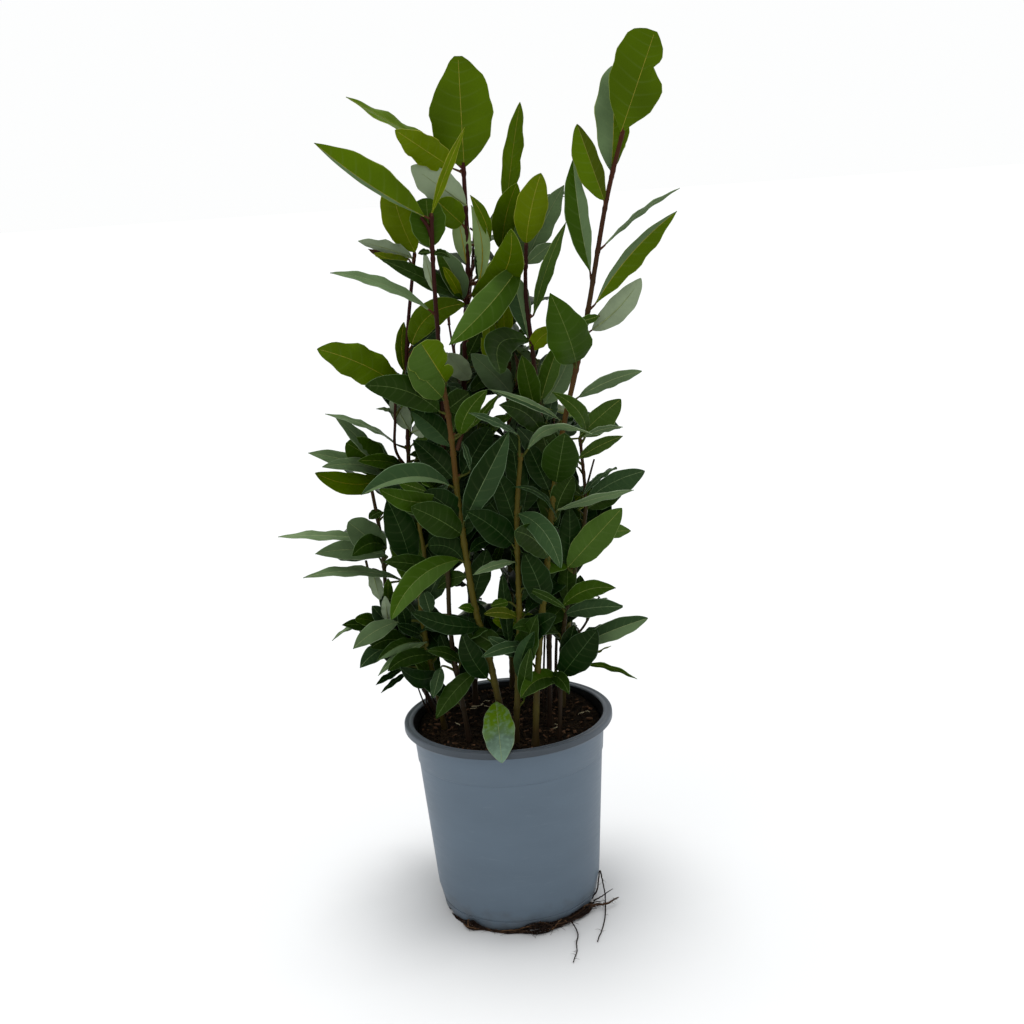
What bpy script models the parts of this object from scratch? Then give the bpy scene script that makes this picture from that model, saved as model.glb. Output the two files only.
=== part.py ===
"""Bay laurel shrub in a three litre nursery pot.

Metres, +Z up. The origin is the centre of the pot's flat underside. The shrub is a clump of
upright stems, with long leaves in loose clusters up each one. The pot is filled with compost,
and roots have grown out at its foot.
"""

import math
from collections import namedtuple

import bmesh
import bpy
from mathutils import Matrix, Vector, noise

# Pot
POT_HEIGHT = 0.181
RIM_RADIUS = 0.0950
RIM_LIP_HEIGHT = 0.0058
MOUTH_RADIUS = 0.0869
SHOULDER_RADIUS = 0.0858
SHOULDER_HEIGHT = 0.1680
HEEL_RADIUS = 0.0753
HEEL_HEIGHT = 0.0240
RING_RADIUS = 0.0722
RING_HEIGHT = 0.0105
FOOT_RADIUS = 0.0700
WALL = 0.0013
FLOOR = 0.0020
EDGE = 0.0008
POT_SIDES = 30
DRAIN_COUNT = 8
DRAIN_WIDTH = 0.012
DRAIN_HEIGHT = 0.007
DRAIN_TURN = math.radians(22.5)

# Compost and roots
SOIL_TOP = 0.1700
GAP = 0.0003
MAT_THICKNESS = 0.0036
MAT_START = math.radians(205)
MAT_END = math.radians(334)
MAT_STEPS = 14
ROOT_SIDES = 6
ROOT_RINGS = 13
ROOT_TAPER = 0.4
FRONT_ROOT_ANGLE = math.radians(303)

# Stems and foliage
STEM_SIDES = 8
STEM_RINGS = 8
FLARE_HEIGHT = 0.012
FLARE = 1.45
STEM_CLEARANCE = 0.0004
MASS_AROUND = 9
MASS_RINGS = 6
MASS_UNEVEN = 0.42
MASS_LUMP = 1.6
MASS_TAPER = 0.34
MASS_START = 0.009
MASS_SPACING = 0.0008
MASS_FLOOR = 0.1830
SPLIT_DIRECTIONS = 240

# A stem runs through its points, foot first, with its radius just above the foot and at its tip.
Stem = namedtuple("Stem", "name points foot_radius tip_radius colour")
STEMS = [
    Stem("stem_front_left", [(-.003, -.033, SOIL_TOP), (-.013, -.039, .247), (-.023, -.044, .304),
         (-.029, -.050, .385), (-.031, -.056, .450), (-.035, -.060, .502)], .0033, .0022, "olive"),
    Stem("stem_left_centre", [(-.036, -.034, SOIL_TOP), (-.045, -.033, .265), (-.043, -.033, .338),
         (-.037, -.031, .480), (-.036, -.030, .579), (-.034, -.030, .633)], .0027, .0017, "brown"),
    Stem("stem_centre", [(-.030, .045, SOIL_TOP), (-.027, .036, .280), (-.022, .024, .430),
         (-.014, .016, .526), (-.007, .011, .590), (-.005, .005, .672)], .0032, .0021, "brown"),
    Stem("stem_right_centre", [(.037, -.010, SOIL_TOP), (.043, -.011, .289), (.047, -.012, .400),
         (.043, -.014, .504), (.040, -.015, .560), (.043, -.015, .605)], .0029, .0017, "brown"),
    Stem("stem_right_tall", [(.022, -.054, SOIL_TOP), (.029, -.051, .243), (.043, -.048, .336),
         (.056, -.044, .431), (.084, -.041, .530), (.109, -.037, .630), (.127, -.035, .690)],
         .0034, .0020, "olive"),
    Stem("stem_left", [(-.058, .050, SOIL_TOP), (-.073, .046, .280), (-.075, .038, .359),
         (-.072, .029, .435), (-.066, .020, .516), (-.052, .010, .600)], .0026, .0016, "brown"),
    Stem("stem_back", [(.006, .074, SOIL_TOP), (.010, .072, .266), (.016, .065, .365),
         (.021, .058, .460), (.025, .052, .542), (.031, .045, .636)], .0030, .0018, "olive"),
    Stem("stem_front", [(.005, -.044, SOIL_TOP), (.015, -.049, .280), (.019, -.053, .374),
         (.026, -.055, .432)], .0033, .0022, "olive"),
    Stem("stem_right_low", [(.044, -.043, SOIL_TOP), (.052, -.038, .260), (.067, -.035, .322),
         (.079, -.032, .374), (.078, -.030, .438)], .0026, .0017, "brown"),
    Stem("stem_far_left", [(-.066, .036, SOIL_TOP), (-.085, .031, .222), (-.101, .015, .292),
         (-.101, .002, .347), (-.105, -.010, .402)], .0024, .0015, "brown"),
    Stem("stem_left_low", [(-.059, .002, SOIL_TOP), (-.068, -.014, .256), (-.070, -.022, .301),
         (-.063, -.029, .339), (-.065, -.035, .374)], .0029, .0018, "olive"),
    Stem("stem_back_right", [(.051, .030, SOIL_TOP), (.058, .035, .225), (.065, .040, .272),
         (.068, .045, .330), (.066, .052, .402)], .0026, .0017, "olive"),
]

# A side shoot leaves its parent stem at its first point.
Shoot = namedtuple("Shoot", "name parent points foot_radius tip_radius colour")
SHOOTS = [
    Shoot("shoot_left", "stem_left", [(-.0730, .0325, .405), (-.083, .020, .428),
          (-.081, .015, .456), (-.077, .010, .492)], .0014, .0012, "brown"),
    Shoot("shoot_far_left", "stem_far_left", [(-.0950, .0225, .262), (-.107, .027, .284),
          (-.115, .020, .308), (-.118, .015, .330)], .0014, .0012, "brown"),
]

# A mass of leaves starts on its stem at a height and reaches a tip. Width is across it as seen
# from the front, and depth is front to back.
Mass = namedtuple("Mass", "name stem height tip width depth age")
MASSES = [
    Mass("crown_tip", "stem_centre", .668, (-.004, .000, .757), .050, .034, "mid"),
    Mass("crown_left", "stem_centre", .655, (-.095, -.030, .728), .034, .034, "young"),
    Mass("crown_front", "stem_centre", .600, (-.037, -.048, .655), .046, .036, "mid"),
    Mass("upper_left", "stem_left_centre", .628, (-.121, -.055, .694), .034, .032, "young"),
    Mass("left_top", "stem_left", .590, (-.078, .030, .645), .044, .042, "young"),
    Mass("centre_left_arm", "stem_left_centre", .552, (-.119, -.050, .591), .030, .036, "dark"),
    Mass("left_middle", "stem_left", .520, (-.018, .000, .560), .040, .038, "mid"),
    Mass("far_left_high", "shoot_left", .488, (-.140, -.010, .526), .030, .034, "young"),
    Mass("front_left_top", "stem_front_left", .492, (-.088, -.098, .506), .052, .046, "mid"),
    Mass("upright_centre", "stem_back", .632, (.044, .030, .718), .032, .034, "mid"),
    Mass("right_centre_top", "stem_right_centre", .600, (.058, -.030, .658), .034, .034, "young"),
    Mass("right_centre_back", "stem_right_centre", .555, (.080, .036, .642), .034, .034, "dark"),
    Mass("centre_front", "stem_right_centre", .580, (-.027, -.070, .528), .052, .038, "mid"),
    Mass("top_right", "stem_right_tall", .686, (.147, -.040, .764), .052, .034, "mid"),
    Mass("top_right_back", "stem_right_tall", .662, (.121, .010, .739), .030, .032, "dark"),
    Mass("right_inner", "stem_right_tall", .590, (.085, -.020, .692), .034, .036, "dark"),
    Mass("right_arm", "stem_right_tall", .545, (.168, -.050, .634), .036, .040, "young"),
    Mass("right_front", "stem_right_tall", .505, (.059, -.085, .565), .040, .036, "mid"),
    Mass("right_low_top", "stem_right_low", .434, (.133, -.030, .490), .050, .044, "young"),
    Mass("front_arch", "stem_front", .428, (.110, -.080, .452), .044, .040, "young"),
    Mass("front_centre", "stem_front_left", .400, (.016, -.075, .462), .062, .044, "dark"),
    Mass("left_arm", "stem_front_left", .392, (-.106, -.100, .416), .056, .046, "mid"),
    Mass("left_droop", "stem_front_left", .322, (-.091, -.092, .311), .066, .052, "mid"),
    Mass("left_fan", "shoot_left", .440, (-.140, .000, .468), .052, .046, "dark"),
    Mass("far_left_arm", "stem_far_left", .398, (-.155, -.020, .430), .048, .044, "young"),
    Mass("far_left_low", "shoot_far_left", .328, (-.188, -.010, .358), .060, .050, "mid"),
    Mass("low_left_fan", "stem_far_left", .236, (-.153, .015, .256), .066, .052, "dark"),
    Mass("centre_low", "stem_front", .335, (.049, -.090, .377), .068, .050, "dark"),
    Mass("centre_low_left", "stem_front", .262, (-.019, -.082, .282), .060, .044, "dark"),
    Mass("right_middle_arm", "stem_right_low", .368, (.128, -.060, .408), .040, .042, "mid"),
    Mass("right_middle_low", "stem_right_low", .306, (.110, -.030, .366), .044, .044, "mid"),
    Mass("right_low_arm", "stem_right_low", .240, (.124, -.052, .262), .074, .054, "young"),
    Mass("back_top", "stem_centre", .570, (.005, .105, .627), .058, .066, "mid"),
    Mass("back_left_high", "stem_left", .485, (-.056, .104, .529), .058, .062, "mid"),
    Mass("back_right_high", "stem_right_centre", .470, (.072, .092, .482), .064, .066, "mid"),
    Mass("back_middle", "stem_back", .470, (-.017, .132, .432), .074, .070, "dark"),
    Mass("back_left", "stem_left", .370, (-.101, .120, .391), .068, .068, "dark"),
    Mass("back_right", "stem_back_right", .396, (.104, .112, .380), .068, .068, "mid"),
    Mass("back_low", "stem_back", .320, (.014, .140, .302), .074, .070, "mid"),
    Mass("back_right_low", "stem_back_right", .262, (.100, .085, .258), .068, .066, "dark"),
    Mass("back_left_low", "stem_left", .250, (-.087, .110, .244), .068, .066, "dark"),
]

COLOURS = {
    "pot": ((0.12, 0.16, 0.20), 0.45),
    "soil": ((0.020, 0.014, 0.010), 0.95),
    "root": ((0.20, 0.13, 0.07), 0.85),
    "olive": ((0.11, 0.11, 0.02), 0.60),
    "brown": ((0.05, 0.018, 0.014), 0.60),
    "young": ((0.10, 0.18, 0.010), 0.45),
    "mid": ((0.045, 0.11, 0.016), 0.45),
    "dark": ((0.016, 0.05, 0.018), 0.45),
}


def new_collection(name):
    collection = bpy.data.collections.new(name)
    bpy.context.scene.collection.children.link(collection)
    return collection


def material(name):
    made = bpy.data.materials.get(name)
    if made is None:
        made = bpy.data.materials.new(name)
        made.use_nodes = True
        shader = made.node_tree.nodes["Principled BSDF"]
        colour, roughness = COLOURS[name]
        shader.inputs["Base Color"].default_value = (*colour, 1)
        shader.inputs["Roughness"].default_value = roughness
        shader.inputs["Metallic"].default_value = 0
    return made


def add_object(name, mesh, collection, look=None):
    made = bpy.data.objects.new(name, mesh)
    collection.objects.link(made)
    if look:
        mesh.materials.clear()
        mesh.materials.append(material(look))
    return made


def hide_cutter(cutter):
    cutter.hide_render = True
    cutter.display_type = "WIRE"


def cut(target, cutter):
    boolean = target.modifiers.new(f"cut_{cutter.name}", "BOOLEAN")
    boolean.operation = "DIFFERENCE"
    boolean.solver = "EXACT"
    boolean.object = cutter


def smooth_round(mesh, angle=40):
    mesh.shade_smooth()
    mesh.set_sharp_from_angle(angle=math.radians(angle))


def turned(name, profile, sides, collection, look):
    """A solid of revolution about Z, from a profile of (radius, height) pairs."""
    mesh = bpy.data.meshes.new(name)
    edges = [(i, i + 1) for i in range(len(profile) - 1)]
    mesh.from_pydata([(r, 0, z) for r, z in profile], edges, [])
    made = add_object(name, mesh, collection, look)
    screw = made.modifiers.new("turn", "SCREW")
    screw.steps = sides
    screw.render_steps = sides
    screw.use_merge_vertices = True
    screw.merge_threshold = 0.00005
    screw.use_smooth_shade = True
    return made


def evaluated_mesh(made):
    bpy.context.view_layer.update()
    graph = bpy.context.evaluated_depsgraph_get()
    return bpy.data.meshes.new_from_object(made.evaluated_get(graph))


def smooth_path(points, count):
    """Evenly counted points on a curve through the given ones."""
    points = [Vector(p) for p in points]
    ends = [2 * points[0] - points[1], *points, 2 * points[-1] - points[-2]]
    path = []
    for i in range(count):
        along = i / (count - 1) * (len(points) - 1)
        k = min(int(along), len(points) - 2)
        t = along - k
        a, b, c, d = ends[k:k + 4]
        path.append(0.5 * (2 * b + (c - a) * t + (2 * a - 5 * b + 4 * c - d) * t ** 2
                           + (3 * b - a - 3 * c + d) * t ** 3))
    return path


def tube_mesh(name, path, radii, sides):
    """A closed tube along a path, with a radius at each point."""
    data = bpy.data.curves.new(name, "CURVE")
    data.dimensions = "3D"
    data.bevel_depth = 1
    data.bevel_resolution = (sides - 4) // 2
    data.use_fill_caps = True
    spline = data.splines.new("POLY")
    spline.points.add(len(path) - 1)
    for point, place, radius in zip(spline.points, path, radii):
        point.co = (*place, 1)
        point.radius = radius
    curve = bpy.data.objects.new(name, data)
    bpy.context.scene.collection.objects.link(curve)
    mesh = evaluated_mesh(curve)
    bpy.data.objects.remove(curve)
    weld(mesh)
    return mesh


def weld(mesh):
    edit = bmesh.new()
    edit.from_mesh(mesh)
    bmesh.ops.remove_doubles(edit, verts=edit.verts, dist=0.00001)
    bmesh.ops.recalc_face_normals(edit, faces=edit.faces)
    edit.to_mesh(mesh)
    edit.free()


def stem_path(stem, rise=0.0):
    """The stem's centreline, upright where it meets the compost, and its radii."""
    path = smooth_path(stem.points, STEM_RINGS)
    radii = [stem.foot_radius + (stem.tip_radius - stem.foot_radius) * i / (STEM_RINGS - 1)
             for i in range(STEM_RINGS)]
    foot = path[0] + Vector((0, 0, rise))
    flare = foot + Vector((0, 0, FLARE_HEIGHT))
    return [foot, flare, *path[1:]], [radii[0] * FLARE, radii[0], *radii[1:]]


def shoot_path(shoot):
    path = smooth_path(shoot.points, STEM_RINGS - 2)
    step = (shoot.tip_radius - shoot.foot_radius) / (len(path) - 1)
    return path, [shoot.foot_radius + step * i for i in range(len(path))]


def clearance_tube(name, path, radii, collection):
    """A cutter a little wider and longer than the limb it makes room for."""
    end = path[-1] + (path[-1] - path[-2]).normalized() * STEM_CLEARANCE
    mesh = tube_mesh(name, [*path[:-1], end], [r + STEM_CLEARANCE for r in radii], STEM_SIDES)
    cutter = add_object(name, mesh, collection)
    hide_cutter(cutter)
    return cutter


def point_at_height(path, height):
    for a, b in zip(path, path[1:]):
        if a.z <= height <= b.z:
            return a.lerp(b, (height - a.z) / (b.z - a.z))
    return path[-1]


def mass_mesh(name, start, tip, width, depth, seed):
    """An uneven closed lump from start to tip, blunt at the stem and narrow at the tip."""
    axis = (tip - start).normalized()
    near = start - axis * MASS_START
    centre = (near + tip) / 2
    half = (tip - near).length / 2
    front = Vector((0, 1, 0)) if abs(axis.y) < 0.8 else Vector((1, 0, 0))
    inward = (front - axis * front.dot(axis)).normalized()
    across = inward.cross(axis)
    edit = bmesh.new()
    bmesh.ops.create_uvsphere(edit, u_segments=MASS_AROUND, v_segments=MASS_RINGS, radius=1)
    shift = Vector((seed * 3.7, seed * 1.3, seed * 2.1))
    for v in edit.verts:
        along, side, back = v.co.z, v.co.x, v.co.y
        lump = 1 + MASS_UNEVEN * noise.noise(v.co * MASS_LUMP + shift)
        girth = lump * (1 - MASS_TAPER * along)
        v.co = (axis * along * half + across * side * girth * width / 2
                + inward * back * girth * depth / 2)
    bmesh.ops.recalc_face_normals(edit, faces=edit.faces)
    mesh = bpy.data.meshes.new(name)
    edit.to_mesh(mesh)
    edit.free()
    return mesh, centre


def sphere_directions(count):
    turn = math.pi * (3 - math.sqrt(5))
    for i in range(count):
        z = 1 - (2 * i + 1) / count
        r = math.sqrt(1 - z * z)
        yield Vector((r * math.cos(turn * i), r * math.sin(turn * i), z))


def dividing_plane(points_a, centre_a, points_b, centre_b, directions):
    """The plane that best parts two lumps, as (normal from a to b, offset), or None if apart."""
    best = None
    for n in directions:
        low, high = centre_a.dot(n), centre_b.dot(n)
        if high - low < 0.004:
            continue
        reach_a = max(p.dot(n) for p in points_a)
        reach_b = min(p.dot(n) for p in points_b)
        overlap = reach_a - reach_b
        if overlap < -MASS_SPACING:
            return None
        if best is None or overlap < best[0]:
            middle = (reach_a + reach_b) / 2
            best = (overlap, n, min(max(middle, low + 0.002), high - 0.002))
    return best[1:]


def keep_inside(mesh, centre, planes):
    """Draws each point in towards the centre until it is behind every plane."""
    for v in mesh.vertices:
        share = 1.0
        for normal, limit in planes:
            reach = v.co.dot(normal)
            room = limit - centre.dot(normal)
            if reach > room:
                share = min(share, room / reach)
        v.co *= share


def boxes_meet(a, b, margin):
    return all(a[0][k] - margin <= b[1][k] and b[0][k] - margin <= a[1][k] for k in range(3))


def box_of(points):
    points = list(points)
    return ([min(p[k] for p in points) for k in range(3)],
            [max(p[k] for p in points) for k in range(3)])


def largest_body(mesh):
    """Leaves only the largest of a mesh's separate bodies, without loose slivers."""
    edit = bmesh.new()
    edit.from_mesh(mesh)
    bmesh.ops.remove_doubles(edit, verts=edit.verts, dist=0.00002)
    bodies, seen = [], set()
    for face in edit.faces:
        if face in seen:
            continue
        body, waiting = [], [face]
        seen.add(face)
        while waiting:
            now = waiting.pop()
            body.append(now)
            for edge in now.edges:
                for other in edge.link_faces:
                    if other not in seen:
                        seen.add(other)
                        waiting.append(other)
        bodies.append(body)
    bodies.sort(key=lambda body: sum(f.calc_area() for f in body))
    for body in bodies[:-1]:
        bmesh.ops.delete(edit, geom=body, context="FACES")
    edit.to_mesh(mesh)
    edit.free()


def make_pot(parts, cutters):
    lip_bottom = POT_HEIGHT - RIM_LIP_HEIGHT
    inner = [
        (0, FLOOR),
        (FOOT_RADIUS - WALL, FLOOR),
        (RING_RADIUS - WALL, RING_HEIGHT),
        (HEEL_RADIUS - WALL, HEEL_HEIGHT),
        (SHOULDER_RADIUS - WALL, SHOULDER_HEIGHT),
        (MOUTH_RADIUS, lip_bottom + EDGE),
        (MOUTH_RADIUS, POT_HEIGHT - EDGE),
        (MOUTH_RADIUS + EDGE, POT_HEIGHT),
    ]
    outer = [
        (RIM_RADIUS - EDGE, POT_HEIGHT),
        (RIM_RADIUS, POT_HEIGHT - EDGE),
        (RIM_RADIUS, lip_bottom + EDGE),
        (RIM_RADIUS - EDGE, lip_bottom),
        (MOUTH_RADIUS + WALL, lip_bottom),
        (SHOULDER_RADIUS, SHOULDER_HEIGHT),
        (HEEL_RADIUS, HEEL_HEIGHT),
        (RING_RADIUS, RING_HEIGHT),
        (FOOT_RADIUS, 0),
        (0, 0),
    ]
    pot = turned("pot", inner + outer, POT_SIDES, parts, "pot")
    for i in range(DRAIN_COUNT):
        angle = DRAIN_TURN + i * math.tau / DRAIN_COUNT
        edit = bmesh.new()
        bmesh.ops.create_cube(edit, size=1)
        place = (Matrix.Rotation(angle, 4, "Z") @ Matrix.Translation((FOOT_RADIUS, 0, 0))
                 @ Matrix.Diagonal((0.02, DRAIN_WIDTH, 2 * DRAIN_HEIGHT, 1)))
        bmesh.ops.transform(edit, matrix=place, verts=edit.verts)
        mesh = bpy.data.meshes.new(f"drain_{i}")
        edit.to_mesh(mesh)
        edit.free()
        cutter = add_object(f"drain_{i}", mesh, cutters)
        hide_cutter(cutter)
        cut(pot, cutter)


def make_soil(parts):
    clear = WALL + GAP * 1.5
    profile = [
        (0, SOIL_TOP),
        (SHOULDER_RADIUS - clear, SOIL_TOP),
        (SHOULDER_RADIUS - clear, SHOULDER_HEIGHT),
        (HEEL_RADIUS - clear, HEEL_HEIGHT),
        (RING_RADIUS - clear, RING_HEIGHT),
        (FOOT_RADIUS - clear, FLOOR + GAP),
        (0, FLOOR + GAP),
    ]
    turned("compost", profile, POT_SIDES, parts, "soil")


def wall_radius(height):
    """The pot's outer radius near its foot."""
    if height < RING_HEIGHT:
        return FOOT_RADIUS + (RING_RADIUS - FOOT_RADIUS) * height / RING_HEIGHT
    share = (height - RING_HEIGHT) / (HEEL_HEIGHT - RING_HEIGHT)
    return RING_RADIUS + (HEEL_RADIUS - RING_RADIUS) * share


def mat_ring(angle):
    """Centre and radius of the root mat at an angle round the foot, uneven and thin at its ends."""
    share = (angle - MAT_START) / (MAT_END - MAT_START)
    swell = 0.72 + 0.55 * noise.noise(Vector((share * 7.0, 4.2, 0.5)))
    swell += 0.45 * math.exp(-((share - 0.72) / 0.12) ** 2)
    ends = 0.45 + 0.55 * math.sqrt(max(math.sin(math.pi * share), 0))
    radius = MAT_THICKNESS * swell * ends
    reach = wall_radius(2 * radius) + radius + GAP
    return Vector((reach * math.cos(angle), reach * math.sin(angle), radius + GAP)), radius


def make_root_mat(parts):
    """The felt of roots that has crept out under the foot and lies against it."""
    step = (MAT_END - MAT_START) / (MAT_STEPS - 1)
    rings = [mat_ring(MAT_START + step * i) for i in range(MAT_STEPS)]
    mesh = tube_mesh("root_mat", [r[0] for r in rings], [r[1] for r in rings], STEM_SIDES)
    smooth_round(mesh, 60)
    add_object("root_mat", mesh, parts, "root")


def make_root(name, points, radius, parts):
    path = smooth_path(points, ROOT_RINGS)
    radii = [radius * (1 - ROOT_TAPER * i / (ROOT_RINGS - 1)) for i in range(ROOT_RINGS)]
    mesh = tube_mesh(name, path, radii, ROOT_SIDES)
    smooth_round(mesh, 60)
    add_object(name, mesh, parts, "root")


def make_roots(parts):
    """A root that climbs the wall from a drain hole and falls back, and one out of the mat."""
    make_root("root_hanging", [(.0642, -.0266, .0040), (.0702, -.0260, .0100),
              (.0726, -.0225, .0200), (.0745, -.0190, .0265), (.0762, -.0215, .0180),
              (.0774, -.0280, .0085), (.0765, -.0400, .0014), (.0745, -.0580, .0012),
              (.0705, -.0773, .0012), (.0640, -.1000, .0012)], .0008, parts)
    centre, radius = mat_ring(FRONT_ROOT_ANGLE)
    outward = Vector((centre.x, centre.y, 0)).normalized()
    start = centre + outward * (radius + 1.5 * GAP)
    make_root("root_front", [start, start + outward * .003, (.0478, -.0850, .0016),
              (.0455, -.1000, .0012), (.0450, -.1129, .0012), (.0407, -.1310, .0012)], .0007, parts)


def make_limbs(parts, cutters):
    """Every stem and shoot, with the cutter that keeps room for it. Returns name: (path, cutter)."""
    limbs = {}
    for stem in STEMS:
        path, radii = stem_path(stem, rise=GAP)
        mesh = tube_mesh(stem.name, path, radii, STEM_SIDES)
        smooth_round(mesh, 60)
        add_object(stem.name, mesh, parts, stem.colour)
        limbs[stem.name] = (path, clearance_tube(f"room_{stem.name}", path, radii, cutters))
    for shoot in SHOOTS:
        path, radii = shoot_path(shoot)
        mesh = tube_mesh(shoot.name, path, radii, STEM_SIDES)
        smooth_round(mesh, 60)
        made = add_object(shoot.name, mesh, parts, shoot.colour)
        cut(made, limbs[shoot.parent][1])
        limbs[shoot.name] = (path, clearance_tube(f"room_{shoot.name}", path, radii, cutters))
    return limbs


def make_masses(limbs, parts):
    lumps = []
    for i, mass in enumerate(MASSES):
        start = point_at_height(limbs[mass.stem][0], mass.height)
        mesh, centre = mass_mesh(mass.name, start, Vector(mass.tip), mass.width, mass.depth, i + 1)
        lumps.append((mass, mesh, centre, [centre + v.co for v in mesh.vertices]))
    directions = list(sphere_directions(SPLIT_DIRECTIONS))
    planes = [[(Vector((0, 0, -1)), -MASS_FLOOR)] for _ in lumps]
    for i, (_, _, centre_a, points_a) in enumerate(lumps):
        for j in range(i + 1, len(lumps)):
            _, _, centre_b, points_b = lumps[j]
            if not boxes_meet(box_of(points_a), box_of(points_b), MASS_SPACING):
                continue
            plane = dividing_plane(points_a, centre_a, points_b, centre_b, directions)
            if plane:
                normal, offset = plane
                planes[i].append((normal, offset - MASS_SPACING / 2))
                planes[j].append((-normal, -(offset + MASS_SPACING / 2)))
    for k, (mass, mesh, centre, _) in enumerate(lumps):
        keep_inside(mesh, centre, planes[k])
        mesh.transform(Matrix.Translation(centre))
        made = add_object(mass.name, mesh, parts, mass.age)
        own = box_of(v.co for v in mesh.vertices)
        for _, cutter in limbs.values():
            if boxes_meet(own, box_of(v.co for v in cutter.data.vertices), 0):
                cut(made, cutter)
        made.data = evaluated_mesh(made)
        made.modifiers.clear()
        largest_body(made.data)
        smooth_round(made.data, 60)


def main():
    for old in list(bpy.data.objects):
        bpy.data.objects.remove(old)
    parts = new_collection("potted_bay_laurel")
    cutters = new_collection("cutters")
    make_pot(parts, cutters)
    make_soil(parts)
    make_root_mat(parts)
    make_roots(parts)
    limbs = make_limbs(parts, cutters)
    make_masses(limbs, parts)


main()
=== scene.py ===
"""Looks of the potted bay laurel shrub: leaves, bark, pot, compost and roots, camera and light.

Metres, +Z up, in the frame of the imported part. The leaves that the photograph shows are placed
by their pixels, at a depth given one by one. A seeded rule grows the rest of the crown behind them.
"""

import math
from collections import namedtuple

import bpy
import numpy as np
from mathutils import Matrix, Vector, noise


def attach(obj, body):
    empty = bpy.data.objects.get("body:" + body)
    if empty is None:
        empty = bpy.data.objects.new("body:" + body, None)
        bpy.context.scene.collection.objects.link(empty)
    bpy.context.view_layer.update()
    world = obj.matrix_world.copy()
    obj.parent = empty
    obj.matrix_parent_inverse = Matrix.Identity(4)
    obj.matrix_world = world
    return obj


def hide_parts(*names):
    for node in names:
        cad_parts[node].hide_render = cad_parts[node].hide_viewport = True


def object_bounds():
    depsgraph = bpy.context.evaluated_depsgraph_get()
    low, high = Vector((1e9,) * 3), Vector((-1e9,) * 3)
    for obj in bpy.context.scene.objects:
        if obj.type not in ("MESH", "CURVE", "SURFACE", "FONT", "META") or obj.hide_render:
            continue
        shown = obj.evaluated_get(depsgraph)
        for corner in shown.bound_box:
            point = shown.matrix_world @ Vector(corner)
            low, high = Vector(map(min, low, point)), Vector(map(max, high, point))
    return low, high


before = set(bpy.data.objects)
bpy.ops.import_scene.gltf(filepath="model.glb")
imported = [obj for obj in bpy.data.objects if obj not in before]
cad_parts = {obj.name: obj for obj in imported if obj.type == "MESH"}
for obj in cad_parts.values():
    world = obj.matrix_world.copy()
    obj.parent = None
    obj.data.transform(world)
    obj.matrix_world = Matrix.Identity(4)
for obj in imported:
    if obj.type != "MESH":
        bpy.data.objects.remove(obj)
cad_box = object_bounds()

MM = 0.001
SEED = 7

# The camera that the photograph was matched with
PHOTO_SIZE = 1024
FOCAL_PIXELS = 1452
SENSOR_MM = 36
CLIP_START = 0.05
CAMERA_PLACE = np.array([0, -1.25, 0.666])
CAMERA_TARGET = np.array([0.016, 0, 0.369])
CAMERA_ROLL = math.radians(-3.88)
# Any depth will do here: with the camera's place it gives the ray through a pixel
RAY_DEPTH = -0.10
FLOOR_COLOUR = (0.60, 0.605, 0.61)
DOME_COLOUR = (0.985, 0.99, 0.99, 1)
DOME_STRENGTH = 1.0
OVERHEAD_STRENGTH = 2.4
OVERHEAD_ANGLE = 25
OVERHEAD_DIRECTION = (0.02, -0.12, -1)
KEY_PLACE = (-0.9, -1.3, 1.8)
KEY_TARGET = (0, 0, 0.35)
KEY_SIZE = 0.8
KEY_WATTS = 3
FLOOR_REACH = 30
FLOOR_ROUGHNESS = 0.9

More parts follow.
